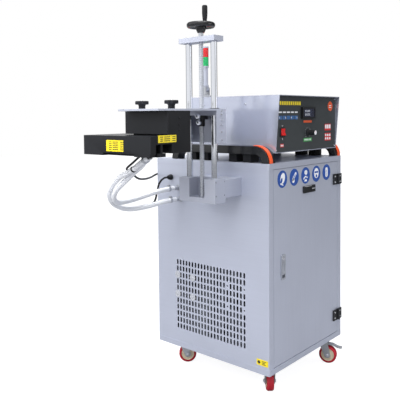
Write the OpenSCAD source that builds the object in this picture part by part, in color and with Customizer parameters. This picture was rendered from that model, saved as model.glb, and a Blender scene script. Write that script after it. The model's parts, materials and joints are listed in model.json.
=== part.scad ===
// Induction cap sealer: a wheeled stainless cabinet with a control box on top
// and a sealing head that a handwheel raises and lowers on a two-rod column.
// Millimetres. +Z up, front (door) faces -Y, the column stands on the -X side.
// The origin is on the floor under the middle of the cabinet.

/* [Cabinet] */
// Width of the cabinet body, side to side
cab_w = 552; // [500:1:600]
// Depth of the cabinet body, front to back
cab_d = 574; // [560:1:620]
// Height of the cabinet body above the caster plates
cab_h = 790; // [780:1:840]
// Thickness of the sheet metal
sheet = 1.5; // [1.2:0.1:2]
// Thickness of the cabinet floor
floor_t = 3; // [2:0.5:5]
// Height of the lip that turns down round the lid
cap_lip = 22; // [18:1:28]
// Height of the rim that stands up round the floor pan
base_rim = 22; // [18:1:28]
// Width of the front frame beside the door
stile_w = 30; // [28:1:36]
// Radius of the bend at the lid's corners
cap_r = 6; // [3:1:9]

/* [Door] */
// Gap round the door
door_gap = 1.5; // [1:0.1:3]
// Depth of the door's folded edge
door_edge = 18; // [15:1:22]
// Width of the lip folded in behind the door's edge
door_hem = 12; // [8:1:16]
// Height of each hinge
hinge_h = 45; // [36:1:56]
// Thickness of the hinge leaves
hinge_t = 5; // [4:0.5:6]
// Radius of the hinge knuckle
knuckle_r = 6; // [5:0.5:7]
// Distance from the door's top or bottom edge to the middle of a hinge
hinge_in = 76; // [60:1:120]
// Length of a hinge leaf on the door
hinge_leaf_l = 40; // [32:1:50]
// Height of the flush door lock
lock_h = 96; // [90:1:110]
// Width of the flush door lock
lock_w = 28; // [24:1:32]
// Distance from the door's left edge to the middle of the lock
lock_in = 60; // [48:1:80]
// Width of the temperature controller's bezel
ctl_w = 92; // [84:1:98]
// Height of the temperature controller's bezel
ctl_h = 28; // [26:1:34]

/* [Grille] */
// Columns of slots in the side grille
slot_cols = 22; // [16:1:23]
// Rows of slots in the side grille
slot_rows = 11; // [7:1:13]
// Distance between slot columns
slot_px = 16.5; // [15:0.1:17.5]
// Distance between slot rows
slot_pz = 27; // [25:0.5:28]
// Width of a slot
slot_w = 8.5; // [6:0.5:10]
// Height of a slot
slot_h = 21; // [16:0.5:23]
// Size of the square fans behind the grille
fan_size = 92; // [90:1:94]
// Thickness of the fans
fan_t = 25; // [20:1:32]

/* [Casters] */
// Height from the floor to the cabinet floor
caster_h = 108; // [104:1:116]
// Wheel diameter
wheel_d = 75; // [70:1:78]
// Wheel width
wheel_w = 28; // [24:1:32]
// Distance from the swivel axis back to the wheel axle
trail = 30; // [26:1:34]
// Distance between the swivel axes, left to right
swivel_x = 390; // [360:1:400]
// Distance between the swivel axes, front to back
swivel_y = 472; // [440:1:476]
// Diameter of the wheel axles
axle_d = 8; // [6:1:10]

/* [Column] */
// Distance from the cabinet's side to the rods
col_off = 124; // [116:1:140]
// Offset of the column from the cabinet's middle, front to back
col_y = -74; // [-90:1:-60]
// Distance between the rods
rod_pitch = 122; // [116:1:130]
// Rod diameter
rod_d = 24; // [20:1:26]
// Lead screw diameter
screw_d = 18; // [16:1:20]
// Lead screw journal diameter
journal_d = 12; // [10:1:14]
// Width of the column base, front to back
colbase_w = 176; // [172:1:190]
// Height of the column base
colbase_h = 89; // [80:1:100]
// Height of the underside of the column base above the floor
colbase_z = 757; // [745:1:765]
// Depth of the column base and top bar, left to right
colbase_t = 62; // [58:1:70]
// Height of the underside of the top bar above the floor
topbar_z = 1345; // [1320:1:1400]
// Thickness of the top bar
topbar_t = 20; // [16:1:25]
// Height of the arm that carries the column
arm_h = 68; // [60:1:72]
// Handwheel diameter
hand_d = 106; // [96:1:120]
// Height of the crank handle
crank_h = 55; // [45:1:65]
// Radial clearance of turning and sliding fits
fit = 0.05; // [0.03:0.01:0.1]

/* [Sealing head] */
// Height of the head plate's underside above the floor at rest
head_z = 1094; // [1070:1:1110]
// Diameter of the lead nut's flange
nut_d = 44; // [38:1:48]
// Diameter of the water hoses
hose_d = 20; // [16:1:23]
// Diameter of the cables
cable_d = 8; // [6:0.5:9]
// Thickness of the head plate
head_t = 7; // [6:0.5:10]
// Distance from the rods to the head plate's outer edge
head_out = 311; // [300:1:330]
// Width of the head plate, front to back
head_w = 194; // [190:1:220]
// Thickness of the carriage's side plates
cheek_t = 8; // [6:1:10]
// Height of the carriage's side plates
cheek_h = 127; // [110:1:135]
// Width of the upper housing, left to right
hous_x = 109; // [100:1:120]
// Length of the upper housing, front to back
hous_y = 209; // [200:1:230]
// Height of the upper housing
hous_h = 78; // [70:1:84]
// Length of the coil block, front to back
coil_y = 339; // [320:1:360]
// Width of the coil block, left to right
coil_x = 190; // [180:1:200]
// Height of the coil block
coil_h = 59; // [56:1:64]
// Width of the tunnel that the caps pass through
tun_w = 74; // [66:1:80]
// Thickness of the outer wall of the tunnel
tun_wall = 24; // [18:1:28]
// Height of the tunnel above the block's underside
tun_h = 31; // [27:1:36]
// Thickness of the end plate on the head
endp_t = 4; // [3:0.5:6]
// Diameter of the star knobs
knob_d = 48; // [44:1:52]

/* [Control box] */
// Distance from the side of the cabinet to the side of the control box
box_in = 46; // [40:1:60]
// Height of the control box
cbox_h = 217; // [200:1:240]
// Height of the gap between the cabinet and the control box
cbox_gap = 36; // [34:1:40]
// Distance that the hood stands out in front of the box's foot
hood = 18; // [10:1:24]
// Depth of the control box at its foot
cbox_d = 427; // [400:1:450]
// Thickness of the box's sheet
cbox_t = 3; // [2:0.5:4]
// Width of each side handle
grip_w = 45; // [41:1:47]
// Thickness of a side handle's bar
grip_t = 31; // [26:1:33]
// Outside radius of a side handle's bends
grip_r = 60; // [55:1:62]
// Length of a side handle
grip_l = 485; // [440:1:500]
// Diameter of the signal light's lenses
lamp_d = 26; // [22:1:32]
// Height of each lens of the signal light
lens_h = 37; // [30:1:45]

/* [Hidden] */
$fn = 64;
e = 1;
// cabinet levels and faces
z0 = caster_h;
z1 = z0 + cab_h;
xw = cab_w / 2;
yd = cab_d / 2;
front = -yd;
dz0 = z0 + base_rim + door_gap;
dz1 = z1 - cap_lip - door_gap;
dx = xw - stile_w - door_gap;
ow = xw - stile_w;
seal = 0.5;
// column
cx = -(xw + col_off);
cy0 = col_y - colbase_w / 2;
cy1 = col_y + colbase_w / 2;
bx0 = cx - colbase_t / 2 - 1;
bx1 = cx + colbase_t / 2 - 1;
bz1 = colbase_z + colbase_h;
post_w = (colbase_w - rod_pitch) / 2 + rod_d;
bar_z = colbase_z + 19;
tz1 = topbar_z + topbar_t;
arm_z = colbase_z + 16;
rods_y = [col_y - rod_pitch / 2, col_y + rod_pitch / 2];
wheel_z = tz1 + 35;
crank_off = 42;
crank_a = -119;
// head
hx0 = cx - head_out;
hx2 = cx - 16;
hx3 = cx + 30;
hy0 = cy0 + 3;
hy1 = hy0 + head_w;
ky1 = cy1 - 1;
hin = cx - 157;
hz = head_z;
hb = hz - hous_h;
cz1 = hb - 4;
cz0 = cz1 - coil_h;
kx = cx - 213;
knobs_y = [hy0 + 35, hy0 + 179];
// control box
wz0 = z1 + cbox_gap;
wz1 = wz0 + cbox_h;
cbox_w = cab_w - 2 * box_in;
wx = cbox_w / 2;
wy = front;
pf = wy + 2;
pt = 3;
gx0 = wx;
gz1 = wz0 + grip_t - 4;
// fans: two square fans on the grille, four slot pitches in from each end
fan_y = [-(slot_cols / 2 - 3) * slot_px, (slot_cols / 2 - 3) * slot_px];
gr_z0 = z0 + 89;
fan_zc = gr_z0 + (slot_rows - 1) * slot_pz - 3.5 * slot_pz;

steel = [0.80, 0.82, 0.85];
dark = [0.13, 0.13, 0.14];
black = [0.05, 0.05, 0.06];
zinc = [0.72, 0.73, 0.74];
alu = [0.78, 0.79, 0.81];
chrome = [0.86, 0.87, 0.88];

// a box from its two corners
module bx(x0, x1, y0, y1, za, zb)
  translate([x0, y0, za]) cube([x1 - x0, y1 - y0, zb - za]);
// an outline in the YZ plane, pulled out along +X from x0
module yz(x0, t) translate([x0, 0, 0]) rotate([90, 0, 90]) linear_extrude(t) children();
// an outline in the XZ plane, pulled out along +Y from y0
module xz(y0, t) translate([0, y0 + t, 0]) rotate([90, 0, 0]) linear_extrude(t) children();
module cyl_x(x0, x1, d) translate([x0, 0, 0]) rotate([0, 90, 0]) cylinder(d = d, h = x1 - x0);
module cyl_y(y0, y1, d) translate([0, y1, 0]) rotate([90, 0, 0]) cylinder(d = d, h = y1 - y0);
module cyl_z(za, zb, d) translate([0, 0, za]) cylinder(d = d, h = zb - za);
// a square with round corners
module rsq(w, h, r) {
  square([w - 2 * r, h], center = true);
  square([w, h - 2 * r], center = true);
  for (i = [-1, 1], j = [-1, 1]) translate([i * (w / 2 - r), j * (h / 2 - r)]) circle(r);
}
// a slot with round ends, standing up
module slot2(w, h) {
  square([w, h - w], center = true);
  for (s = [-1, 1]) translate([0, s * (h - w) / 2]) circle(d = w);
}

// Cabinet
module base_pan() color(steel) difference() {
  translate([0, 0, z0]) linear_extrude(base_rim) rsq(cab_w + 2 * sheet, cab_d + 2 * sheet, cap_r);
  bx(-xw, xw, -yd, yd, z0 + floor_t, z0 + base_rim + e);
}

module top_cap() color(steel) difference() {
  translate([0, 0, z1 - cap_lip]) linear_extrude(cap_lip) rsq(cab_w + 2 * sheet, cab_d + 2 * sheet, cap_r);
  bx(-xw, xw, -yd, yd, z1 - cap_lip - e, z1 - sheet);
}

// true where a fan bolt takes the place of a slot
function bolt_here(c, r) =
  (c == 0 || c == 5 || c == slot_cols - 6 || c == slot_cols - 1) && (r == 5 || r == 8);

port_y = [yd - 126, yd - 137];
port_z = [z0 + 671, z0 + 626];
gland_y = yd - 81;
gland_z = z0 + 712;

module side_left() color(steel) yz(-xw, sheet) difference() {
  translate([-yd, z0 + floor_t]) square([cab_d, cab_h - floor_t - sheet]);
  for (c = [0:slot_cols - 1], r = [0:slot_rows - 1]) if (!bolt_here(c, r))
    translate([(c - (slot_cols - 1) / 2) * slot_px, gr_z0 + r * slot_pz]) slot2(slot_w, slot_h);
  for (i = [0, 1]) translate([port_y[i], port_z[i]]) circle(d = 14);
  translate([gland_y, gland_z]) circle(d = 16);
}

module side_right() color(steel) bx(xw - sheet, xw, -yd, yd, z0 + floor_t, z1 - sheet);

module back_panel() color(steel) {
  bx(-xw + sheet, xw - sheet, yd - sheet, yd, z0 + floor_t, z1 - sheet);
  for (s = [0, 1]) mirror([s, 0, 0]) bx(xw - sheet - 28, xw - sheet, yd - 2 * sheet, yd - sheet, z0 + floor_t, z1 - sheet);
}

module door_frame() color(steel) {
  // face of the frame
  difference() {
    bx(-xw + sheet, xw - sheet, front, front + sheet, z0 + floor_t, z1 - sheet);
    bx(-ow, ow, front - e, front + sheet + e, z0 + base_rim, z1 - cap_lip);
  }
  // edge that turns in round the opening, and the door stop behind it
  difference() {
    bx(-ow - sheet, ow + sheet, front + sheet, front + door_edge + seal + sheet,
       z0 + base_rim - sheet, z1 - cap_lip + sheet);
    bx(-ow, ow, front, front + door_edge + seal, z0 + base_rim, z1 - cap_lip);
    bx(-ow + door_hem, ow - door_hem, front, front + door_edge + seal + 2 * sheet,
       z0 + base_rim + door_hem, z1 - cap_lip - door_hem);
  }
}

// Door
hng_x = xw - stile_w - door_gap / 2;
hng_y = front - knuckle_r;
hinge_z = [dz0 + hinge_in, dz1 - hinge_in];
hgap = 0.3;
pin_r = 2.5;
lock_x = -dx + lock_in;
lock_z = (z0 + z1) / 2 - 2;
ctl_x = 7;
ctl_z = z1 - 119;
piv_z = lock_z - 27;
piv_y = front - 1;

module hinge_leaves() color(black) for (z = hinge_z) translate([hng_x, hng_y, z]) {
  difference() {
    union() {
      bx(hgap, stile_w + door_gap / 2, knuckle_r - hinge_t, knuckle_r, -hinge_h / 2, hinge_h / 2);
      cyl_z(-hinge_h / 2, hinge_h / 2, 2 * knuckle_r);
    }
    cyl_z(-hinge_h / 4 - hgap, hinge_h / 4 + hgap, 2 * (knuckle_r + hgap));
    bx(-knuckle_r - e, -hgap, 0.5, knuckle_r + e, -hinge_h, hinge_h);
  }
  cyl_z(-hinge_h / 2, hinge_h / 2, 2 * pin_r);
}

module door_hinge_leaves() color(black) for (z = hinge_z) translate([hng_x, hng_y, z]) difference() {
  union() {
    difference() {
      bx(-hinge_leaf_l, -hgap, knuckle_r - hinge_t, knuckle_r, -hinge_h / 2, hinge_h / 2);
      for (s = [-1, 1]) translate([0, 0, s * hinge_h / 2])
        cyl_z(-hinge_h / 4 - hgap, hinge_h / 4 + hgap, 2 * (knuckle_r + hgap));
    }
    difference() {
      cyl_z(-hinge_h / 4, hinge_h / 4, 2 * knuckle_r);
      bx(hgap, knuckle_r + e, 0.5, knuckle_r + e, -hinge_h, hinge_h);
    }
  }
  cyl_z(-hinge_h, hinge_h, 2 * (pin_r + fit));
}

module door() color(steel) difference() {
  bx(-dx, dx, front, front + door_edge, dz0, dz1);
  bx(-dx + sheet, dx - sheet, front + sheet, front + door_edge - sheet, dz0 + sheet, dz1 - sheet);
  bx(-dx + door_hem, dx - door_hem, front + sheet, front + door_edge + e, dz0 + door_hem, dz1 - door_hem);
  bx(lock_x - lock_w / 2 + 3, lock_x + lock_w / 2 - 3, front - e, front + sheet + e, lock_z - lock_h / 2 + 4, lock_z + lock_h / 2 - 4);
  bx(ctl_x - ctl_w / 2 + 4, ctl_x + ctl_w / 2 - 4, front - e, front + sheet + e, ctl_z - ctl_h / 2 + 3, ctl_z + ctl_h / 2 - 3);
}

module controller() color(black) difference() {
  union() {
    translate([ctl_x, 0, ctl_z]) xz(front - 4, 4) rsq(ctl_w, ctl_h, 2);
    bx(ctl_x - ctl_w / 2 + 4, ctl_x + ctl_w / 2 - 4, front, front + 60, ctl_z - ctl_h / 2 + 3, ctl_z + ctl_h / 2 - 3);
    for (i = [0:2]) translate([ctl_x + ctl_w / 2 - 8 - i * 9, 0, ctl_z]) cyl_y(front - 5, front - 3, 5);
  }
  bx(ctl_x - ctl_w / 2 + 7, ctl_x + ctl_w / 2 - 32, front - 5, front - 2.5, ctl_z - ctl_h / 2 + 5, ctl_z + ctl_h / 2 - 5);
}

module lock_body() color(dark) {
  difference() {
    union() {
      translate([lock_x, 0, lock_z]) xz(front - 4, 4) rsq(lock_w, lock_h, 4);
      bx(lock_x - lock_w / 2 + 3, lock_x + lock_w / 2 - 3, front, front + 22, lock_z - lock_h / 2 + 4, lock_z + lock_h / 2 - 4);
    }
    bx(lock_x - lock_w / 2 + 4, lock_x + lock_w / 2 - 4, front - 5, front + 10, lock_z - lock_h / 2 + 6, lock_z + 18);
    // seat of the cylinder above the lever
    translate([lock_x, 0, lock_z + 32]) cyl_y(front - 5, front - 2, 16);
  }
  translate([lock_x, 0, lock_z + 32]) cyl_y(front - 3.4, front - 2, 14);
  translate([0, piv_y, piv_z]) translate([lock_x, 0, 0]) cyl_x(-lock_w / 2 + 4, lock_w / 2 - 4, 4);
}

module lock_lever() color(zinc) translate([lock_x, piv_y, piv_z]) difference() {
  union() {
    bx(-lock_w / 2 + 4.4, lock_w / 2 - 4.4, -3.5, 3.5, 0, 44);
    cyl_x(-lock_w / 2 + 4.4, lock_w / 2 - 4.4, 7);
  }
  cyl_x(-lock_w, lock_w, 4 + 2 * fit);
  bx(-lock_w / 2 + 8, lock_w / 2 - 8, -4, -2, 12, 38);
}

// Column
module column_arm() color(alu) difference() {
  bx(bx1, -xw, cy0, cy1, arm_z, arm_z + arm_h);
  bx(bx1 - e, -xw + e, cy0 + 6, cy1 - 6, arm_z + 6, arm_z + arm_h - 6);
}

module column_base() color(alu) difference() {
  bx(bx0, bx1, cy0, cy1, colbase_z, bz1);
  bx(bx0 - e, bx1 - 10, cy0 + post_w, cy1 - post_w, bar_z, bz1 + e);
  for (y = rods_y) translate([cx, y, 0]) cyl_z(colbase_z + 6, bz1 + e, rod_d + 2 * fit);
  translate([cx, col_y, 0]) cyl_z(colbase_z + 5, bar_z + e, journal_d + 2 * fit);
  // bolt holes in both end faces
  for (x = [bx0 + 7, bx1 - 7], z = [colbase_z + 28, bz1 - 11], s = [0, 1])
    translate([x, 0, z]) cyl_y(s == 0 ? cy0 - e : cy1 - 8, s == 0 ? cy0 + 8 : cy1 + e, 7);
}

module guide_rods() color(chrome) for (y = rods_y) translate([cx, y, 0])
  cyl_z(colbase_z + 6, tz1 - 5, rod_d);

module top_bar() color(alu) difference() {
  translate([cx - 1, col_y, 0]) bx(-colbase_t / 2 + 4, colbase_t / 2 - 4, -colbase_w / 2 + 3, colbase_w / 2 - 1, topbar_z, tz1);
  for (y = rods_y) translate([cx, y, 0]) cyl_z(topbar_z - e, tz1 - 5, rod_d + 2 * fit);
  translate([cx, col_y, 0]) cyl_z(topbar_z - e, tz1 + e, journal_d + 2 * fit);
}

module lead_screw() color(zinc) translate([cx, col_y, 0]) {
  cyl_z(colbase_z + 5.3, bar_z + 0.3, journal_d);
  cyl_z(bar_z + 0.3, topbar_z - 0.3, screw_d);
  cyl_z(topbar_z - 0.3, wheel_z - 2, journal_d);
  cyl_z(tz1 + 0.3, wheel_z - 19, screw_d);
}

module handwheel() color(black) translate([cx, col_y, wheel_z]) difference() {
  union() {
    // hub, web and rim are one turned casting
    rotate_extrude() polygon([[journal_d / 2 + fit, -19], [13, -19], [18, -8], [20, 0], [20, 4],
      [hand_d / 2 - 12, 6], [hand_d / 2 - 9, 4], [hand_d / 2 - 4, 0], [hand_d / 2, 5], [hand_d / 2, 13],
      [hand_d / 2 - 4, 18], [hand_d / 2 - 9, 15], [hand_d / 2 - 12, 11], [16, 11], [12, 16], [journal_d / 2 + fit, 16]]);
    // boss of the crank pin
    rotate(crank_a) translate([crank_off, 0, 0]) { cyl_z(5, 19.7, 15); cyl_z(5, 20 + crank_h * 0.6, 6); }
  }
  // three openings between the spokes
  for (a = [0, 120, 240]) rotate(crank_a + 60 + a) translate([28.5, 0, 0]) cyl_z(-10, 30, 15);
}

module crank_handle() color(black) translate([cx, col_y, wheel_z]) rotate(crank_a) translate([crank_off, 0, 0]) {
  difference() {
    rotate_extrude() polygon([[0, 20], [7, 20], [8, 23], [9, 32], [10, 45], [10, 20 + crank_h - 6],
      [9, 20 + crank_h - 2], [6.5, 20 + crank_h], [0, 20 + crank_h]]);
    cyl_z(19, 20.5 + crank_h * 0.6, 6 + 2 * fit);
  }
}

// Carriage and sealing head
module carriage() color(alu) difference() {
  union() {
    // side plates, back plate and the block that the rods pass through
    bx(hx2, hx3 + 8, hy0, hy0 + cheek_t, hz + head_t - cheek_h, hz + head_t);
    bx(hx2, hx3 + 8, ky1 - cheek_t, ky1, hz + head_t - cheek_h, hz + head_t);
    bx(hx3, hx3 + 8, hy0 + cheek_t, ky1 - cheek_t, hz + head_t - cheek_h + 2, hz + head_t);
    bx(hx2, hx3, hy0 + cheek_t, ky1 - cheek_t, hz - 17, hz);
  }
  for (y = rods_y) translate([cx, y, 0]) cyl_z(hz - 18, hz + e, rod_d + 2 * fit);
  translate([cx, col_y, 0]) cyl_z(hz - 18, hz + e, screw_d + 4);
}

module lead_nut() color(dark) translate([cx, col_y, 0]) difference() {
  union() {
    cyl_z(hz - 32, hz - 17, nut_d);
    cyl_z(hz - 57, hz - 17, screw_d + 6);
  }
  cyl_z(hz - 60, hz, screw_d + 2 * fit);
}

module head_plate() color(alu) difference() {
  union() {
    bx(hx0, hx2, hy0, hy1, hz, hz + head_t);
    bx(hx2, hx3, hy0 + cheek_t, ky1 - cheek_t, hz, hz + head_t);
  }
  for (y = rods_y) translate([cx, y, 0]) cyl_z(hz - e, hz + head_t + e, rod_d + 2);
  translate([cx, col_y, 0]) cyl_z(hz - e, hz + head_t + e, screw_d + 4);
  for (y = knobs_y) translate([kx, y, 0]) cyl_z(hz - e, hz + head_t + e, 10.6);
}

hby = hy0 + endp_t;
module head_housing() color(dark) difference() {
  union() {
    bx(hin - hous_x, hin, hby, hy0 + hous_y, hb, hz);
    // spacer under the housing
    bx(hin - hous_x + 20, hin - 10, hby, hy0 + hous_y - 20, cz1, hb);
  }
  for (y = knobs_y) translate([kx, y, 0]) cyl_z(hz - 26, hz + e, 10 + 2 * fit);
}

coil0 = hin - coil_x;
module block_outline() difference() {
  translate([coil0, cz0]) square([coil_x, coil_h]);
  translate([coil0 + tun_wall, cz0 - e]) square([tun_w, tun_h + e]);
}

// a stub of height h under the block, bent towards the back for a length l
module elbow(x, y, h, d, l) {
  translate([x, y, 0]) cyl_z(cz0 - h, cz0, d);
  translate([x, y, cz0 - h]) sphere(d = d);
  translate([x, y, cz0 - h]) rotate([-120, 0, 0]) cylinder(d = d, h = l);
}

module coil_block() color(dark) {
  xz(hby, coil_y - endp_t) block_outline();
  // elbows of the water hoses and bosses of the cables, leaning back along the hoses
  for (i = [0, 1]) elbow(hx_in[i], hy_in[i], 10, 14, 21.9);
  for (x = cab_in) elbow(x, -12, 7, 12, 12);
  // feet under the outer wall of the tunnel
  bx(coil0, coil0 + tun_wall, hby, hy0 + 78, cz0 - 9, cz0);
  bx(coil0, coil0 + tun_wall, hy0 + coil_y - 105, hy0 + coil_y, cz0 - 9, cz0);
}

module end_plate() color(black) xz(hy0, endp_t) {
  block_outline();
  translate([hin - hous_x, cz1]) square([hous_x, hz - cz1]);
}

module coil_rail() color(dark) {
  xc = coil0 + tun_wall + 30;
  bx(xc - 5, xc + 5, hby, hy0 + coil_y - 4, cz0 + 2, cz0 + tun_h);
  bx(xc - 20, xc + 19, hby, hy0 + coil_y - 4, cz0 - 10, cz0 + 2);
}

module star_knob(y) color(black) translate([kx, y, 0]) {
  difference() {
    rotate_extrude() polygon([[0, hz + head_t + 12], [12, hz + head_t + 12], [14, hz + head_t + 16], [knob_d / 2 - 1, hz + head_t + 17],
      [knob_d / 2, hz + head_t + 18], [knob_d / 2, hz + head_t + 27], [knob_d / 2 - 2, hz + head_t + 29], [9, hz + head_t + 29], [8, hz + head_t + 27.5], [0, hz + head_t + 27.5]]);
    for (a = [0:6]) rotate(a * 360 / 7 + 12) translate([knob_d / 2 + 3.5, 0, 0]) cyl_z(hz + head_t + 15, hz + head_t + 31, 14);
  }
  cyl_z(hz + head_t + 0.3, hz + head_t + 14, 24);
  cyl_z(hz - 25, hz + head_t + 1, 10);
}
module knob_front() star_knob(knobs_y[0]);
module knob_rear() star_knob(knobs_y[1]);

// Control box
module cheek() polygon([[wy, wz0], [wy - hood, wz1], [wy + cbox_d, wz1], [wy + cbox_d, wz0]]);

module box_shell() color(steel) difference() {
  yz(-wx, cbox_w) cheek();
  bx(-wx + cbox_t, wx - cbox_t, wy - 100, wy + cbox_d - cbox_t, wz0 + cbox_t, wz1 - cbox_t);
}

// panel cut-outs
met_z = wz0 + 150;
rck_x = 49 - wx;
rck_z = wz0 + 77.5;
dial_x = 3;
dial_z = wz0 + 71;

module box_panel() color([0.24, 0.24, 0.26]) difference() {
  bx(-wx + cbox_t, wx - cbox_t, pf, pf + pt, wz0 + cbox_t, wz1 - cbox_t);
  bx(-45, 45, pf - e, pf + pt + e, met_z - 19, met_z + 19);
  bx(rck_x - 14, rck_x + 14, pf - e, pf + pt + e, rck_z - 15.5, rck_z + 15.5);
  translate([dial_x, 0, dial_z]) cyl_y(pf - e, pf + pt + e, 7);
}

module panel_bezels() color(black) {
  // meter
  difference() {
    union() {
      translate([0, 0, met_z]) xz(pf - 10, 10) rsq(98, 46, 2);
      bx(-45, 45, pf, pf + 50, met_z - 19, met_z + 19);
    }
    bx(-40, 40, pf - 11, pf - 8, met_z - 16, met_z + 16);
  }
  // frame of the rocker switch
  difference() {
    union() {
      translate([rck_x, 0, rck_z]) xz(pf - 2.5, 2.5) rsq(36, 35, 2);
      bx(rck_x - 14, rck_x + 14, pf, pf + 28, rck_z - 15.5, rck_z + 15.5);
    }
    bx(rck_x - 12.5, rck_x + 12.5, pf - 3, pf + 18, rck_z - 14.6, rck_z + 14.6);
  }
  translate([rck_x, pf, rck_z]) cyl_x(-12.6, 12.6, 3);
}

// the rocker lies tilted to one side at rest
rock_a = 9;
module rocker() color([0.85, 0.08, 0.06]) translate([rck_x, pf, rck_z]) rotate([-rock_a, 0, 0]) difference() {
  yz(-12.2, 24.4) polygon([[-7.5, -13], [-4.2, 0], [-7.5, 13], [4, 13], [9, 0], [4, -13]]);
  cyl_x(-14, 14, 3 + 2 * fit);
}

module dial() color(black) translate([dial_x, 0, dial_z]) {
  rotate([90, 0, 0]) rotate_extrude() polygon([[0, -pf - 5], [3, -pf - 5], [3, -pf + 0.3], [14, -pf + 0.3], [14, -pf + 4],
    [11, -pf + 7], [10, -pf + 33], [9, -pf + 35], [0, -pf + 35]]);
}

// side handle: an arch over the whole length of the box, in two bends
hy_a = wy + 2;
hy_b = hy_a + grip_l;
grc = gz1 - grip_r;
module arch(r_out, r_in) {
  difference() {
    union() {
      translate([hy_a + grip_r, grc]) circle(r_out);
      translate([hy_b - grip_r, grc]) circle(r_out);
      translate([hy_a + grip_r, grc]) square([grip_l - 2 * grip_r, r_out]);
      for (y = [hy_a + grip_r - r_out, hy_b - grip_r]) translate([y, z1]) square([r_out, max(grc - z1, 0.01)]);
    }
    translate([hy_a + grip_r, grc]) circle(r_in);
    translate([hy_b - grip_r, grc]) circle(r_in);
    translate([hy_a + grip_r, grc - 2 * r_out]) square([grip_l - 2 * grip_r, 2 * r_out + r_in]);
    translate([hy_a + grip_r - r_in, z1 - e]) square([grip_l - 2 * grip_r + 2 * r_in, max(grc - z1, 0) + e]);
    translate([hy_a - 99, z1 - 200]) square([grip_l + 198, 200]);
  }
}
module handles() color(dark) for (s = [0, 1]) mirror([s, 0, 0]) yz(gx0, grip_w) arch(grip_r, grip_r - grip_t);

// cover strips over the front bend
strip_t = 3;
module handle_grips() color([0.95, 0.35, 0.05]) for (s = [0, 1]) mirror([s, 0, 0]) yz(gx0 + grip_w - 26, 19) intersection() {
  difference() { arch(grip_r + strip_t, grip_r - grip_t); arch(grip_r, 0); }
  translate([hy_a - 50, z1]) square([grip_r + 62, 200]);
}

feet_y = [wy + 106, wy + 174, wy + 317, wy + 379];
module box_feet() color(black) for (s = [0, 1], y = feet_y) mirror([s, 0, 0])
  union() {
    bx(gx0 - 18, gx0 + 36, y - 18, y + 18, z1, gz1 - grip_t);
    bx(gx0 - 18, gx0 - 0.5, y - 18, y + 18, z1, wz0);
  }

// Signal light on the control box
tx = 35 - wx;
ty = wy + cbox_d - 60;
tpz = wz1 + 34;
module tower_base() color(black) translate([tx, ty, 0]) {
  cyl_z(wz1, wz1 + 8, 50);
  cyl_z(wz1 + 8, wz1 + 12, 30);
  // two ears with the pivot pin
  difference() {
    for (s = [-1, 1]) translate([s * 11 - 2.5, -11, wz1 + 10]) union() {
      cube([5, 22, 24]);
      translate([0, 11, 24]) rotate([0, 90, 0]) cylinder(d = 22, h = 5);
    }
  }
  translate([0, 0, tpz]) cyl_x(-14, 14, 6);
}
module tower_post() color(zinc) translate([tx, ty, 0]) {
  difference() {
    union() {
      translate([0, 0, tpz]) cyl_x(-8.2, 8.2, 20);
      bx(-8.2, 8.2, -9, 9, tpz, tpz + 14);
      cyl_z(tpz + 13, tpz + 17, lamp_d);
      cyl_z(tpz + 16, post_z, 20);
      cyl_z(post_z - 6, post_z, lamp_d);
    }
    translate([0, 0, tpz]) cyl_x(-12, 12, 6 + 2 * fit);
  }
  cyl_z(post_z + 2 * lens_h, post_z + 2 * lens_h + 6, lamp_d);
}
post_z = wz1 + 129;
module tower_green() color([0.1, 0.75, 0.4]) translate([tx, ty, 0]) cyl_z(post_z, post_z + lens_h, lamp_d);
module tower_red() color([0.9, 0.1, 0.1]) translate([tx, ty, 0]) cyl_z(post_z + lens_h, post_z + 2 * lens_h, lamp_d);

// Hose ports and the cable gland on the side
port_len = 34;
module hose_ports() {
  color(zinc) for (i = [0, 1]) translate([-xw, port_y[i], port_z[i]]) {
    cyl_x(-4, 0, 24);
    cyl_x(-12, -4, 20);
    rotate([0, -90, 0]) rotate_extrude() polygon([[0, 10], [6.5, 10], [6.5, 14], [8.5, 15], [7, 20], [8.5, 21], [7, 26], [8.5, 27], [7, port_len], [0, port_len]]);
    cyl_x(0, 16, 13.6);
    cyl_x(sheet, sheet + 6, 20);
  }
  color(black) translate([-xw, gland_y, gland_z]) {
    cyl_x(-6, 0, 24);
    rotate([0, -90, 0]) rotate_extrude() polygon([[0, 5], [10, 5], [10, 14], [7, 20], [0, 20]]);
    cyl_x(0, 12, 15.6);
    cyl_x(sheet, sheet + 5, 22);
  }
  color(black) translate([back_x, yd, back_z]) {
    rotate([-90, 0, 0]) rotate_extrude() polygon([[0, 0], [12, 0], [12, 6], [8, 6], [8, 16], [0, 16]]);
    translate([0, 16, 0]) { sphere(d = 16); cyl_x(-20, 0, 14); cyl_x(-24, -20, 11); }
  }
}

// Hoses and cables: a tube swept along a route
function unit(v) = v / norm(v);
// direction of the tube at ring i; both end rings face squarely along the route's own ends
function facing(p, r, i) = i == 0 ? unit(r[1] - r[0]) : i == len(p) - 1 ? unit(r[len(r) - 1] - r[len(r) - 2]) : unit(p[i + 1] - p[i - 1]);
// points on a smooth curve through the route's points, n to each stretch
function spline(p, n) = let (l = len(p) - 1, g = concat([2 * p[0] - p[1]], p, [2 * p[l] - p[l - 1]]))
  [for (i = [0:l - 1]) for (k = [0:n - 1]) let (t = k / n, a = g[i], b = g[i + 1], c = g[i + 2], d = g[i + 3])
  0.5 * (2 * b + (c - a) * t + (2 * a - 5 * b + 4 * c - d) * t * t + (3 * b - a - 3 * c + d) * t * t * t), p[l]];
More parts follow.
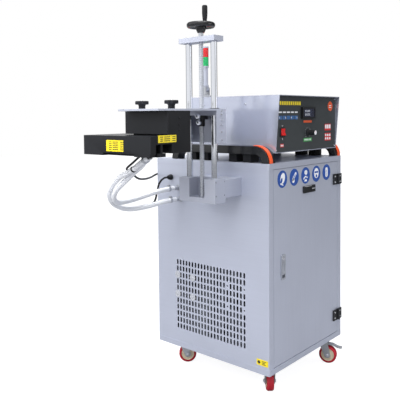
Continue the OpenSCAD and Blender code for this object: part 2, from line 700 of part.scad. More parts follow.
// side directions carried along the route without twist
function sides(p, r, i, u) = i >= len(p) ? [] :
  let (d = facing(p, r, i), v = unit(u - (u * d) * d)) concat([v], sides(p, r, i + 1, v));
module tube(route, d, u, m = 8, n = 2) {
  p = spline(route, n);
  s = sides(p, route, 0, u);
  pts = [for (i = [0:len(p) - 1]) for (k = [0:m - 1]) let (w = cross(facing(p, route, i), s[i]), a = 360 * k / m)
    p[i] + d / 2 * (cos(a) * s[i] + sin(a) * w)];
  last = (len(p) - 1) * m;
  polyhedron(pts, concat([[for (k = [0:m - 1]) k]],
    [for (i = [0:len(p) - 2], k = [0:m - 1]) let (k2 = (k + 1) % m) [i * m + k2, i * m + k, (i + 1) * m + k, (i + 1) * m + k2]],
    [[for (k = [m - 1:-1:0]) last + k]]));
}
hx_in = [hin - 38, hin - 65];
hy_in = [-20, -36];
cab_in = [hin - 83, hin - 13];
back_x = 76 - xw;
back_z = z0 + 722;
hose_a = [[-xw - port_len - 0.05, port_y[0], port_z[0]], [-330, 161, 779], [-349.7, 163.9, 777.6], [-368.7, 169.7, 775.3],
  [-386.9, 177.1, 772.2], [-404.5, 185.4, 767.9], [-421.9, 193.7, 762.7], [-439.5, 201.6, 757.5],
  [-457.6, 208.4, 752.8], [-476.5, 213.7, 748.9], [-495.9, 216.7, 746], [-515.8, 217.2, 744.5], [-535.7, 215.4, 744.2],
  [-555.2, 210.9, 744.6], [-573.8, 204.7, 748.3], [-590.5, 197.1, 755.7], [-604.6, 187.8, 766.3],
  [-615.1, 176.5, 778.8], [-621.5, 163.6, 792.5], [-623.6, 149.4, 806.2], [-621.4, 134.9, 819.8],
  [-615.7, 121.2, 833.3], [-609.9, 107.5, 846.7], [-605.2, 93.2, 859.8], [-601.2, 78.5, 872.8], [-597.3, 62.9, 884.6],
  [-594.7, 47.1, 896.6], [-594.2, 32.1, 909.8], [-595, 16.3, 922], [hx_in[0], hy_in[0] + 19, cz0 - 21]];
hose_b = [[-xw - port_len - 0.05, port_y[1], port_z[1]], [-330, 150, 734], [-350, 153.2, 733.3], [-368.9, 159.9, 731.2],
  [-386.5, 169, 727], [-403.2, 179.3, 722.2], [-419.8, 190.1, 717.9], [-436.7, 200.6, 714.2], [-454.2, 210.3, 711.5],
  [-472.5, 218.8, 710.2], [-491.5, 225.6, 710.6], [-510.9, 230.5, 713.6], [-530.1, 233.3, 719.3],
  [-548.5, 233.8, 727.7], [-566, 232.2, 737.7], [-582, 227.5, 749.1], [-595.5, 220.2, 762.2], [-607, 210.9, 776],
  [-616.2, 199.7, 790.1], [-622.9, 186.9, 804.2], [-627.4, 172.6, 817.8], [-630.1, 157.2, 830.7], [-631.2, 141, 842.8],
  [-631.2, 124, 853.9], [-630, 106.3, 863.5], [-628, 87.9, 871.9], [-626, 69.6, 880.3], [-624.3, 51.9, 890],
  [-623.2, 34.7, 900.7], [-622.6, 17.7, 911.7], [-622, 0.3, 922], [hx_in[1], hy_in[1] + 19, cz0 - 21]];
cable_a = [[-xw - 20.05, gland_y, gland_z], [-314, 206, 820], [-332.7, 206.2, 812.8], [-346.9, 206.7, 798.4],
  [-354.7, 207, 780], [-361.6, 206.7, 761.7], [-368.8, 204.1, 743.8], [-379.8, 202.9, 728], [-395.2, 205.6, 716.9],
  [-412.9, 211.7, 711.8], [-430.7, 218.9, 709.7], [-448.6, 226.1, 708.2], [-466.5, 233.4, 707.5],
  [-484.5, 240.1, 708.3], [-502.7, 245.5, 711.7], [-520.6, 249.3, 717.7], [-537.7, 250.8, 726.3],
  [-553.2, 248.9, 737.4], [-564.7, 242.1, 751.1], [-573.2, 229.9, 763.1], [-581.9, 216.9, 774.2],
  [-590.2, 203.1, 784.3], [-597.6, 188.2, 793.7], [-603.3, 172.8, 803.3], [-606.3, 157.4, 813.9],
  [-605.6, 142.5, 825.6], [-601.5, 128.5, 837.7], [-596.1, 115, 849.9], [-591.6, 101.6, 862.6], [-587.6, 87.5, 874.7],
  [-583.8, 72.6, 885.7], [-580.5, 57.8, 897], [-577.1, 43.5, 908.9], [-574.4, 29.7, 921.6], [-570, 14, 931],
  [cab_in[1], -1.6, cz0 - 13]];
cable_b = [[cab_in[0], -1.6, cz0 - 13], [-640, 14.2, 930.9], [-641.3, 28.9, 920.4], [-641.7, 44, 910.2], [-640.4, 59.6, 901.2],
  [-635.9, 75.2, 893.6], [-627.2, 89.4, 887.5], [-614.7, 100.9, 881.9], [-599.9, 109.5, 876.1], [-584.4, 116.2, 869.4],
  [-569.1, 122.1, 861.5], [-554, 128.2, 853.3], [-539, 135.3, 846.1], [-523.8, 143.5, 840.6], [-508.4, 152.3, 836.7],
  [-492.9, 161.5, 833.8], [-477.4, 170.7, 831.4], [-461.9, 180.1, 829.5], [-446.5, 189.7, 827.9],
  [-431.2, 199.4, 826.5], [-415.9, 209.2, 825.3], [-400.7, 219.1, 824.3], [-385.4, 229.1, 823.5],
  [-370.3, 239.2, 822.8], [-355.1, 249.3, 822.3], [-340, 259.4, 822], [-324.9, 269.5, 822.1], [-309.6, 279.4, 822.7],
  [-293.9, 288.5, 823.8], [-277.4, 295.7, 825.4], [-260, 300.4, 827.5], [-242.3, 303, 830],
  [back_x - 24.05, yd + 16, back_z]];
module hose_1() color([0.92, 0.93, 0.95]) tube(hose_a, hose_d, [0, 0, 1]);
module hose_2() color([0.92, 0.93, 0.95]) tube(hose_b, hose_d, [0, 0, 1]);
module cable_1() color(black) tube(cable_a, cable_d, [0, 0, 1]);
module cable_2() color(black) tube(cable_b, cable_d, [1, 0, 0]);

// Casters
plate_t = 4;
fork_t = 3;
leg_y = wheel_w / 2 + 2;
fork_z = z0 - plate_t - 11;
corner = [[-1, -1, 41], [1, -1, -71], [-1, 1, -49], [1, 1, 100]];
module at(i) translate([corner[i][0] * swivel_x / 2, corner[i][1] * swivel_y / 2, 0]) rotate(corner[i][2]) children();

module caster_plates() color(zinc) for (c = corner) translate([c[0] * swivel_x / 2, c[1] * swivel_y / 2, 0]) {
  difference() {
    translate([0, 0, z0 - plate_t]) linear_extrude(plate_t) rsq(76, 60, 6);
    for (i = [-1, 1], j = [-1, 1]) translate([i * 29, j * 21, z0 - plate_t - e]) cylinder(d = 8, h = plate_t + 2 * e);
  }
  translate([0, 0, 0]) cyl_z(fork_z + 1, z0 - plate_t, 20);
  rotate_extrude() polygon([[0, fork_z + 4], [20.2, fork_z + 4], [22.6, fork_z + 7], [22.6, z0 - plate_t], [0, z0 - plate_t]]);
  cyl_z(fork_z - 4.5, fork_z + 4, 12);
  cyl_z(fork_z - 8, fork_z - 3.3, 18);
}

// a yoke; braked ones carry the pedal's pin between the legs
module fork(braked) color(zinc) difference() {
  union() {
    // crown of the yoke, under the swivel plate
    translate([0, 0, fork_z - 3]) cylinder(d = 46, h = 3);
    bx(-8, 30, -leg_y - fork_t, leg_y + fork_t, fork_z - 3, fork_z);
    rotate_extrude() polygon([[12, fork_z], [21, fork_z], [25, fork_z + 2], [25, fork_z + 6], [23.4, fork_z + 6], [20.6, fork_z + 3.6], [12, fork_z + 3.6]]);
    for (s = [-1, 1]) {
      y = s < 0 ? -leg_y - fork_t : leg_y;
      xz(y, fork_t) { polygon([[-8, fork_z], [30, fork_z], [trail + 13, wheel_d / 2], [trail - 13, wheel_d / 2 - 2]]);
        translate([trail, wheel_d / 2]) circle(13); }
    }
    if (braked) translate([ped_x, 0, ped_z]) cyl_y(-leg_y - 1, leg_y + 1, 4);
    // axle bolt with its heads
    translate([trail, 0, wheel_d / 2]) cyl_y(-leg_y - fork_t - 4, leg_y + fork_t + 4, axle_d);
    for (s = [-1, 1]) translate([trail, s * (leg_y + fork_t + 2), wheel_d / 2]) cyl_y(-2, 2, 15);
    for (s = [-1, 1]) translate([trail, s * (leg_y - 0.7), wheel_d / 2]) cyl_y(-0.7, 0.7, 14);
  }
  translate([0, 0, fork_z - 4]) cylinder(d = 12.8, h = 12);
}
module fork_fl() at(0) fork(true);
module fork_fr() at(1) fork(true);
module fork_rl() at(2) fork(false);
module fork_rr() at(3) fork(false);

module wheel() color([0.75, 0.08, 0.1]) translate([trail, 0, wheel_d / 2]) rotate([90, 0, 0]) difference() {
  rotate_extrude() polygon([[axle_d / 2 + fit, -wheel_w / 2], [10, -wheel_w / 2], [12, -wheel_w / 2 + 3.5], [wheel_d / 2 - 11, -wheel_w / 2 + 3.5],
    [wheel_d / 2 - 9, -wheel_w / 2], [wheel_d / 2 - 4, -wheel_w / 2], [wheel_d / 2, -wheel_w / 2 + 5], [wheel_d / 2, wheel_w / 2 - 5], [wheel_d / 2 - 4, wheel_w / 2],
    [wheel_d / 2 - 9, wheel_w / 2], [wheel_d / 2 - 11, wheel_w / 2 - 3.5], [12, wheel_w / 2 - 3.5], [10, wheel_w / 2], [axle_d / 2 + fit, wheel_w / 2]]);
}
module wheel_fl() at(0) wheel();
module wheel_fr() at(1) wheel();
module wheel_rl() at(2) wheel();
module wheel_rr() at(3) wheel();

// brake pedal, pivoting on the fork above the wheel
ped_x = 24;
ped_z = fork_z - 9;
module brake() color(zinc) translate([ped_x, 0, ped_z]) difference() {
  union() {
    xz(-wheel_w / 2, wheel_w) polygon([[0, -1.5], [26, -3], [48, -12], [66, -13], [66, -11], [49, -9.5], [27, -0.5], [0, 1.5]]);
    cyl_y(-wheel_w / 2, wheel_w / 2, 8);
  }
  cyl_y(-wheel_w, wheel_w, 4 + 2 * fit);
}
module brake_fl() at(0) brake();
module brake_fr() at(1) brake();

// Fans behind the grille, and what the cabinet holds
fx0 = -xw + sheet;
hub_d = 34;
module fan_frames() color(black) for (y = fan_y) translate([fx0, y, fan_zc]) {
  difference() {
    yz(0, fan_t) rsq(fan_size, fan_size, 4);
    cyl_x(-e, fan_t + e, fan_size - 4);
    for (i = [-1, 1], j = [-1, 1]) translate([0, i * (fan_size / 2 - 4.8), j * (fan_size / 2 - 4.8)]) cyl_x(-e, fan_t + e, 4.4);
  }
  // spider that carries the motor
  difference() {
    union() {
      translate([fan_t - 4, 0, 0]) cyl_x(0, 4, hub_d);
      for (a = [30:90:300]) rotate([a, 0, 0]) bx(fan_t - 4, fan_t, -2, 2, 0, fan_size / 2 - 1);
    }
    cyl_x(-e, fan_t - 3, 10);
  }
  cyl_x(6, fan_t - 2, 6);
}
module fan_rotor(y) color(dark) translate([fx0, y, fan_zc]) difference() {
  union() {
    cyl_x(3, fan_t - 4.5, hub_d);
    for (a = [0:360 / 7:359]) rotate([a, 0, 0]) translate([11.5, 0, hub_d / 2 - 1]) linear_extrude(fan_size / 2 - 4 - hub_d / 2) rotate(-50) square([2, 18], center = true);
  }
  cyl_x(5.5, fan_t, 6 + 2 * fit);
}
module fan_rotor_a() fan_rotor(fan_y[0]);
module fan_rotor_b() fan_rotor(fan_y[1]);

// water tank, pump and power unit on the cabinet floor
fl = z0 + floor_t;
module cooling_unit() color([0.55, 0.58, 0.62]) {
  bx(xw - 250, xw - 20, yd - 230, yd - 20, fl, fl + 260);
  bx(xw - 200, xw - 70, yd - 180, yd - 70, fl + 260, fl + 272);
  translate([xw - 135, yd - 125, 0]) cyl_z(fl + 272, fl + 352, 96);
  translate([xw - 135, yd - 125, 0]) cyl_z(fl + 352, fl + 362, 80);
  bx(-150, 10, yd - 180, yd - 30, fl, fl + 12);
  translate([-70, yd - 105, 0]) cyl_z(fl + 12, fl + 160, 130);
  translate([-70, yd - 105, fl + 160]) rotate_extrude() polygon([[0, 0], [65, 0], [60, 18], [44, 32], [0, 38]]);
}

base_pan();
top_cap();
side_left();
side_right();
back_panel();
door_frame();
hinge_leaves();
door();
door_hinge_leaves();
controller();
lock_body();
lock_lever();
column_arm();
column_base();
guide_rods();
top_bar();
lead_screw();
handwheel();
crank_handle();
carriage();
lead_nut();
head_plate();
head_housing();
coil_block();
end_plate();
coil_rail();
knob_front();
knob_rear();
box_shell();
box_panel();
panel_bezels();
rocker();
dial();
handles();
handle_grips();
box_feet();
tower_base();
tower_post();
tower_green();
tower_red();
hose_ports();
hose_1();
hose_2();
cable_1();
cable_2();
caster_plates();
fork_fl();
fork_fr();
fork_rl();
fork_rr();
wheel_fl();
wheel_fr();
wheel_rl();
wheel_rr();
brake_fl();
brake_fr();
fan_frames();
fan_rotor_a();
fan_rotor_b();
cooling_unit();
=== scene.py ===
"""Looks of the induction cap sealer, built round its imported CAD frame.

The script is laid out as an add-on. Each group of pieces has one operator, the
studio has another, and the main call at the end runs them in order.
Lengths in the tables are millimetres in the frame of the part: +Z up, the door
faces -Y and the column stands on the -X side.
"""

import json
import math

import bmesh
import bpy
from mathutils import Matrix, Vector

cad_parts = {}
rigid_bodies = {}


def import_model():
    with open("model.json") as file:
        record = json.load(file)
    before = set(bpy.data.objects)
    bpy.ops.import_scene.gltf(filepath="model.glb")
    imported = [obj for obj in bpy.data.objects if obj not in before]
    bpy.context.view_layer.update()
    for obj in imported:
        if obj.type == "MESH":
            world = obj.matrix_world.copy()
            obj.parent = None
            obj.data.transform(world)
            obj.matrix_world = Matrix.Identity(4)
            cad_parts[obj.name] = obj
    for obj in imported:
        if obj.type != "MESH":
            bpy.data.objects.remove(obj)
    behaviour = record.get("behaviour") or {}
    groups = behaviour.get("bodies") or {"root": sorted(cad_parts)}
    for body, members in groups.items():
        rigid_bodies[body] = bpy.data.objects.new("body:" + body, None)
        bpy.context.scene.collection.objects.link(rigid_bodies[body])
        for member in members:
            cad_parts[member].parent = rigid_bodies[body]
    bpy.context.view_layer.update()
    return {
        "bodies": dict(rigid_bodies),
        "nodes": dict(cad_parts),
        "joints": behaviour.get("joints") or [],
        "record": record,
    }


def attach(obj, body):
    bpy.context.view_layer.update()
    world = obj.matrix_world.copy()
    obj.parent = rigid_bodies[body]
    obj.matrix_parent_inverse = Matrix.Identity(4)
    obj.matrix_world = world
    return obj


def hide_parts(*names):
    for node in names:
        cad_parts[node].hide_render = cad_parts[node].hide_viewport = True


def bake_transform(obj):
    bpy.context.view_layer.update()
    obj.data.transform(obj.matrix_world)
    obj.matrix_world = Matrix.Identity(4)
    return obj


bl_info = {
    "name": "Induction cap sealer looks",
    "version": (1, 0, 0),
    "blender": (4, 2, 0),
    "location": "View3D > Sidebar > Sealer",
    "description": "Dresses the packed cap sealer: cabinet, column, head, control box, cords and studio",
    "category": "Object",
}

MM = 0.001
# planes that carry small pieces
SIDE_X = -276
DOOR_Y = -287
HINGE_Y = -292
UNIT_Y = -288.6
BOX_Y = -285
HEAD_X = -747
HEAD_Y = -159
HEAD_BACK_Y = 13
# the lead screw's axis, its thread's ends and the discs' first place and pitch
SCREW_X, SCREW_Y = -400, -74
THREAD_LOW, THREAD_HIGH = 778.0, 1343.0
DISC_X, DISC_PITCH, DISC_Z = -186, 84, 835
# the material and the slot that many pieces share
ALUMINIUM = dict(mats=["aluminium_block"], slot="aluminium")
ZINC = dict(mats=["zinc_plate"], slot="zinc")
BLACK = dict(mats=["black_plastic"], slot="black_plastic")
SHELL = dict(mats=["head_shell"], slot="head_black")
FAN = dict(mats=["fan_black"], slot="fan_black")
# the second material of the bolts is black, painted shade in their recesses and sockets
BOLTS = dict(mats=["bright_bolt", "black_marks_and_recess_shade"], slot="zinc")
PLATES = dict(mats=["label_yellow", "black_marks_and_recess_shade"], slot="lens_green")
FRAME = {}
MATS = {}


def srgb(r, g, b):
    """A screen colour, 0 to 255, as linear numbers."""
    def line(c):
        c /= 255
        return c / 12.92 if c <= 0.04045 else ((c + 0.055) / 1.055) ** 2.4
    return (line(r), line(g), line(b))


def colour_prop(name, text, rgb):
    return bpy.props.FloatVectorProperty(
        name=name, description=text, subtype="COLOR", size=3, min=0, max=1, default=srgb(*rgb)
    )


def size_prop(name, text, value, low, high):
    return bpy.props.FloatProperty(name=name, description=text, default=value, min=low, max=high)


class SealerSettings(bpy.types.PropertyGroup):
    steel: colour_prop("Stainless steel", "Sheet metal of the cabinet", (201, 206, 222))
    # the control box's steel is the cabinet's steel made a little darker: painted shade on the box's sides
    shaded_box_steel: colour_prop("Box steel", "Sheet metal of the control box", (190, 195, 212))
    plastic: colour_prop("Black plastic", "Hinges, feet, knobs and grips", (24, 25, 28))
    head: colour_prop("Head", "Moulded housing of the sealing head", (25, 26, 29))
    panel: colour_prop("Panel", "Front panel of the control box", (60, 64, 66))
    orange: colour_prop("Orange cover", "Strips over the front bends of the handles", (240, 88, 36))
    aluminium: colour_prop("Aluminium", "Column, carriage and head plate", (186, 190, 204))
    chrome: colour_prop("Chrome", "Rods and bright bolts", (226, 229, 236))
    zinc: colour_prop("Zinc", "Casters, ports and lead screw", (188, 191, 197))
    lock: colour_prop("Lock", "Case of the door lock", (178, 182, 192))
    tread: colour_prop("Tread", "Rubber of the wheels", (190, 20, 42))
    hub: colour_prop("Hub", "Centre of the wheels", (226, 214, 186))
    hose: colour_prop("Hose", "Water hoses", (236, 238, 243))
    cable: colour_prop("Cable", "Black cables", (24, 24, 27))
    yellow: colour_prop("Yellow label", "Plain yellow label plates", (238, 214, 30))
    blue: colour_prop("Blue disc", "Discs on the door", (30, 76, 160))
    green_lens: colour_prop("Green lens", "Lower lens of the signal light", (6, 190, 108))
    red_lens: colour_prop("Red lens", "Upper lens of the signal light", (218, 36, 42))
    edge: size_prop("Edge radius", "Radius of sheet metal edges, mm", 0.5, 0.1, 1.0)
    block_edge: size_prop("Block edge", "Radius of edges on the machined blocks, mm", 0.9, 0.2, 2.0)
    thread_pitch: size_prop("Thread pitch", "Lead of the screw, mm", 8.0, 3.0, 12.0)
    thread_depth: size_prop("Thread depth", "Depth of the screw's thread, mm", 1.8, 0.5, 2.0)
    disc_d: size_prop("Disc", "Diameter of the discs on the door, mm", 66.0, 50.0, 75.0)
    washer_d: size_prop("Washer", "Diameter of the bright fan washers, mm", 30.0, 12.0, 34.0)


def settings():
    return bpy.context.scene.sealer


def move(x, y, z):
    return Matrix.Translation((x, y, z))


def rotate(degrees, axis="Z"):
    return Matrix.Rotation(math.radians(degrees), 4, axis)


# places: local X runs right, local Y up and local Z out of the named face

def place(columns, x, y, z, turn=0.0):
    m = Matrix.Identity(4)
    for i, c in enumerate(columns):
        for k in range(3):
            m[k][i] = c[k]
    return move(x, y, z) @ m @ rotate(turn)


def front(x, y, z, turn=0.0):
    return place(((1, 0, 0), (0, 0, 1), (0, -1, 0)), x, y, z, turn)


def left(x, y, z, turn=0.0):
    return place(((0, -1, 0), (0, 0, 1), (-1, 0, 0)), x, y, z, turn)


def right(x, y, z, turn=0.0):
    return place(((0, 1, 0), (0, 0, 1), (1, 0, 0)), x, y, z, turn)


def back(x, y, z, turn=0.0):
    return place(((-1, 0, 0), (0, 0, 1), (0, 1, 0)), x, y, z, turn)


def up(x, y, z, turn=0.0):
    return place(((1, 0, 0), (0, 1, 0), (0, 0, 1)), x, y, z, turn)


def down(x, y, z, turn=0.0):
    return place(((1, 0, 0), (0, -1, 0), (0, 0, -1)), x, y, z, turn)


# mesh tools

def show(name, data):
    """A new object in the scene."""
    o = bpy.data.objects.new(name, data)
    bpy.context.scene.collection.objects.link(o)
    return o


def add(bm, part, at, mat=0):
    """Puts a part modelled in millimetres into bm at a place."""
    for f in part.faces:
        f.material_index = mat
    bmesh.ops.transform(part, matrix=Matrix.Scale(MM, 4) @ at, verts=part.verts)
    me = bpy.data.meshes.new("part")
    part.to_mesh(me)
    part.free()
    bm.from_mesh(me)
    bpy.data.meshes.remove(me)


def thicken(part, t, soft=0.0):
    """Pulls flat faces up by t and rounds the upper rim."""
    lifted = bmesh.ops.extrude_face_region(part, geom=part.faces[:])["geom"]
    verts = [g for g in lifted if isinstance(g, bmesh.types.BMVert)]
    tops = [g for g in lifted if isinstance(g, bmesh.types.BMFace)]
    bmesh.ops.translate(part, vec=(0, 0, t), verts=verts)
    bmesh.ops.recalc_face_normals(part, faces=part.faces)
    if soft:
        inner = set(tops)
        rim = [e for e in part.edges if sum(f in inner for f in e.link_faces) == 1]
        bmesh.ops.bevel(part, geom=rim, offset=soft, segments=2, profile=0.5, affect="EDGES", material=-1)


def slab(bm, w, h, t, r, at, mat=0, soft=0.0):
    """A plate with round corners, its middle at the place."""
    part = bmesh.new()
    bmesh.ops.create_grid(part, x_segments=1, y_segments=1, size=0.5, matrix=Matrix.Diagonal((w, h, 1, 1)))
    if r:
        bmesh.ops.bevel(
            part, geom=part.verts[:], offset=r, segments=4, profile=0.5, affect="VERTICES", material=-1,
        )
    thicken(part, t, soft)
    add(bm, part, at, mat)


def disc(bm, d, t, at, mat=0, soft=0.0, steps=40, wide=1.0, tall=1.0):
    """A round or oval plate."""
    part = bmesh.new()
    bmesh.ops.create_circle(
        part, cap_ends=True, segments=steps, radius=d / 2, matrix=Matrix.Diagonal((wide, tall, 1, 1)),
    )
    thicken(part, t, soft)
    add(bm, part, at, mat)


def lathe(bm, profile, at, mat=0, steps=32):
    """Turns a profile of (radius, height) round the local Z axis."""
    part = bmesh.new()
    ring = [part.verts.new((r, 0, h)) for r, h in profile]
    line = [part.edges.new(pair) for pair in zip(ring, ring[1:])]
    bmesh.ops.spin(
        part, geom=ring + line, cent=(0, 0, 0), axis=(0, 0, 1), angle=math.tau, steps=steps, use_merge=True,
    )
    bmesh.ops.remove_doubles(part, verts=part.verts, dist=0.001)
    bmesh.ops.recalc_face_normals(part, faces=part.faces)
    add(bm, part, at, mat)


def pan_screw(bm, d, at, mat=0, dark=1):
    """A domed screw head; its cross recess is two thin slabs of the dark material, painted shade in place of
    a cut.
    """
    h = d * 0.32
    dome = [(0, h), (d * 0.2, h * 0.97), (d * 0.38, h * 0.75), (d * 0.48, h * 0.35), (d * 0.5, 0)]
    lathe(bm, dome, at, mat, 20)
    for turn in (20, 110):
        slab(bm, d * 0.52, d * 0.1, 0.12, 0, at @ move(0, 0, h * 0.93) @ rotate(turn), dark)


def socket_screw(bm, d, h, at, mat=0, dark=1):
    """A cap screw with a hexagonal socket, whose floor is a disc of the dark material, painted shade at the
    bottom of the socket.
    """
    r = d / 2
    cap = [(r * 0.5, h * 0.3), (r * 0.5, h - 0.2), (r * 0.56, h), (r * 0.88, h), (r, h - 0.5), (r, 0)]
    lathe(bm, cap, at, mat, 24)
    disc(bm, d * 0.52, 0.1, at @ move(0, 0, h * 0.3), dark, steps=6)


def washer(bm, d, hole, t, at, mat=0):
    lathe(bm, [(hole / 2, 0), (hole / 2, t), (d / 2 - 0.3, t), (d / 2, t - 0.3), (d / 2, 0)], at, mat, 28)


def finish_piece(name, bm, body, mats, slot, smooth=33):
    """Makes bm an object of the named body."""
    me = bpy.data.meshes.new(name)
    bm.to_mesh(me)
    bm.free()
    for m in mats:
        me.materials.append(MATS[m])
    me.polygons.foreach_set("use_smooth", [True] * len(me.polygons))
    me.set_sharp_from_angle(angle=math.radians(smooth))
    o = show(name, me)
    if body:
        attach(o, body)
    return o


def dress(name, nodes, body, mats, slot, edge=0.0, least=7.0, smooth=33, pick=None):
    """A finished copy of CAD nodes: joined faces, rounded long edges and smooth curves."""
    bm = bmesh.new()
    for n in nodes:
        bm.from_mesh(FRAME["nodes"][n].data)
    for f in bm.faces:
        f.material_index = 0
    bmesh.ops.remove_doubles(bm, verts=bm.verts, dist=2e-6)
    bmesh.ops.dissolve_limit(bm, angle_limit=math.radians(0.5), verts=bm.verts[:], edges=bm.edges[:])
    if edge:
        sharp = [
            e for e in bm.edges
            if len(e.link_faces) == 2
            and e.calc_face_angle(0) > math.radians(50)
            and e.calc_length() > least * MM
        ]
        bmesh.ops.bevel(
            bm, geom=sharp, offset=edge * MM, segments=2, profile=0.5, affect="EDGES", clamp_overlap=True,
            material=-1,
        )
    if pick:
        for f in bm.faces:
            f.material_index = pick(f)
    o = finish_piece(name, bm, body, mats, slot, smooth)
    if edge:
        flat = o.modifiers.new("flat_faces", "WEIGHTED_NORMAL")
        flat.keep_sharp = True
    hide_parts(*nodes)
    return o


# materials

def blank_material(name):
    """A new material, its nodes, and the socket that its look goes into."""
    m = bpy.data.materials.new(name)
    m.use_nodes = True
    nt = m.node_tree
    nt.nodes.clear()
    return m, nt, nt.nodes.new("ShaderNodeOutputMaterial").inputs["Surface"]


def noise(nt, scale, detail):
    """Noise on Object coordinates, its scale in features a metre along each axis."""
    where = nt.nodes.new("ShaderNodeTexCoord")
    fit = nt.nodes.new("ShaderNodeMapping")
    fit.inputs["Scale"].default_value = scale
    nt.links.new(where.outputs["Object"], fit.inputs["Vector"])
    n = nt.nodes.new("ShaderNodeTexNoise")
    n.inputs["Scale"].default_value = 1.0
    n.inputs["Detail"].default_value = detail
    nt.links.new(fit.outputs["Vector"], n.inputs["Vector"])
    return n.outputs["Fac"]


def span(nt, value, low, high, a=0.3, b=0.7, kind="LINEAR"):
    """Maps a to b onto low to high, and stops at both ends."""
    r = nt.nodes.new("ShaderNodeMapRange")
    r.interpolation_type = kind
    for key, number in (("From Min", a), ("From Max", b), ("To Min", low), ("To Max", high)):
        r.inputs[key].default_value = number
    nt.links.new(value, r.inputs["Value"])
    return r.outputs["Result"]


def calculate(nt, what, *values):
    """A math node fed with sockets or numbers."""
    m = nt.nodes.new("ShaderNodeMath")
    m.operation = what
    for socket, v in zip(m.inputs, values):
        if isinstance(v, bpy.types.NodeSocket):
            nt.links.new(v, socket)
        else:
            socket.default_value = v
    return m.outputs[0]


def blend_colour(nt, value, one, two):
    m = nt.nodes.new("ShaderNodeMix")
    m.data_type = "RGBA"
    nt.links.new(value, m.inputs["Factor"])
    for socket, c in ((m.inputs["A"], one), (m.inputs["B"], two)):
        if isinstance(c, bpy.types.NodeSocket):
            nt.links.new(c, socket)
        else:
            socket.default_value = (*c, 1)
    return m.outputs["Result"]


def shade(c, k):
    return tuple(min(1, x * k) for x in c)


def surface(
    name, colour, rough, metal=0.0, vary=0.06, cloud=6.0, grain=300, grain_mix=0.05, bump=0.1,
    depth=0.0002, wear=None, **fixed
):
    """A material with cloudy colour, fine grain, roughness that follows the grain, bump and worn edges."""
    m, nt, look = blank_material(name)
    bsdf = nt.nodes.new("ShaderNodeBsdfPrincipled")
    nt.links.new(bsdf.outputs[0], look)
    broad = noise(nt, (cloud,) * 3, 2)
    fine = noise(nt, grain if isinstance(grain, tuple) else (grain,) * 3, 4)
    base = blend_colour(nt, span(nt, broad, 0, 1), shade(colour, 1 - vary), shade(colour, 1 + vary))
    both = blend_colour(nt, span(nt, fine, 0, grain_mix), base, shade(colour, 0.55))
    if wear:
        edge = nt.nodes.new("ShaderNodeNewGeometry")
        both = blend_colour(nt, span(nt, edge.outputs["Pointiness"], 0, 0.6, 0.53, 0.62), both, wear)
    nt.links.new(both, bsdf.inputs["Base Color"])
    nt.links.new(span(nt, fine, *rough), bsdf.inputs["Roughness"])
    bsdf.inputs["Metallic"].default_value = metal
    b = nt.nodes.new("ShaderNodeBump")
    b.inputs["Strength"].default_value = bump
    b.inputs["Distance"].default_value = depth
    nt.links.new(fine, b.inputs["Height"])
    nt.links.new(b.outputs["Normal"], bsdf.inputs["Normal"])
    for key, value in fixed.items():
        bsdf.inputs[key.replace("_", " ")].default_value = value
    MATS[name] = m


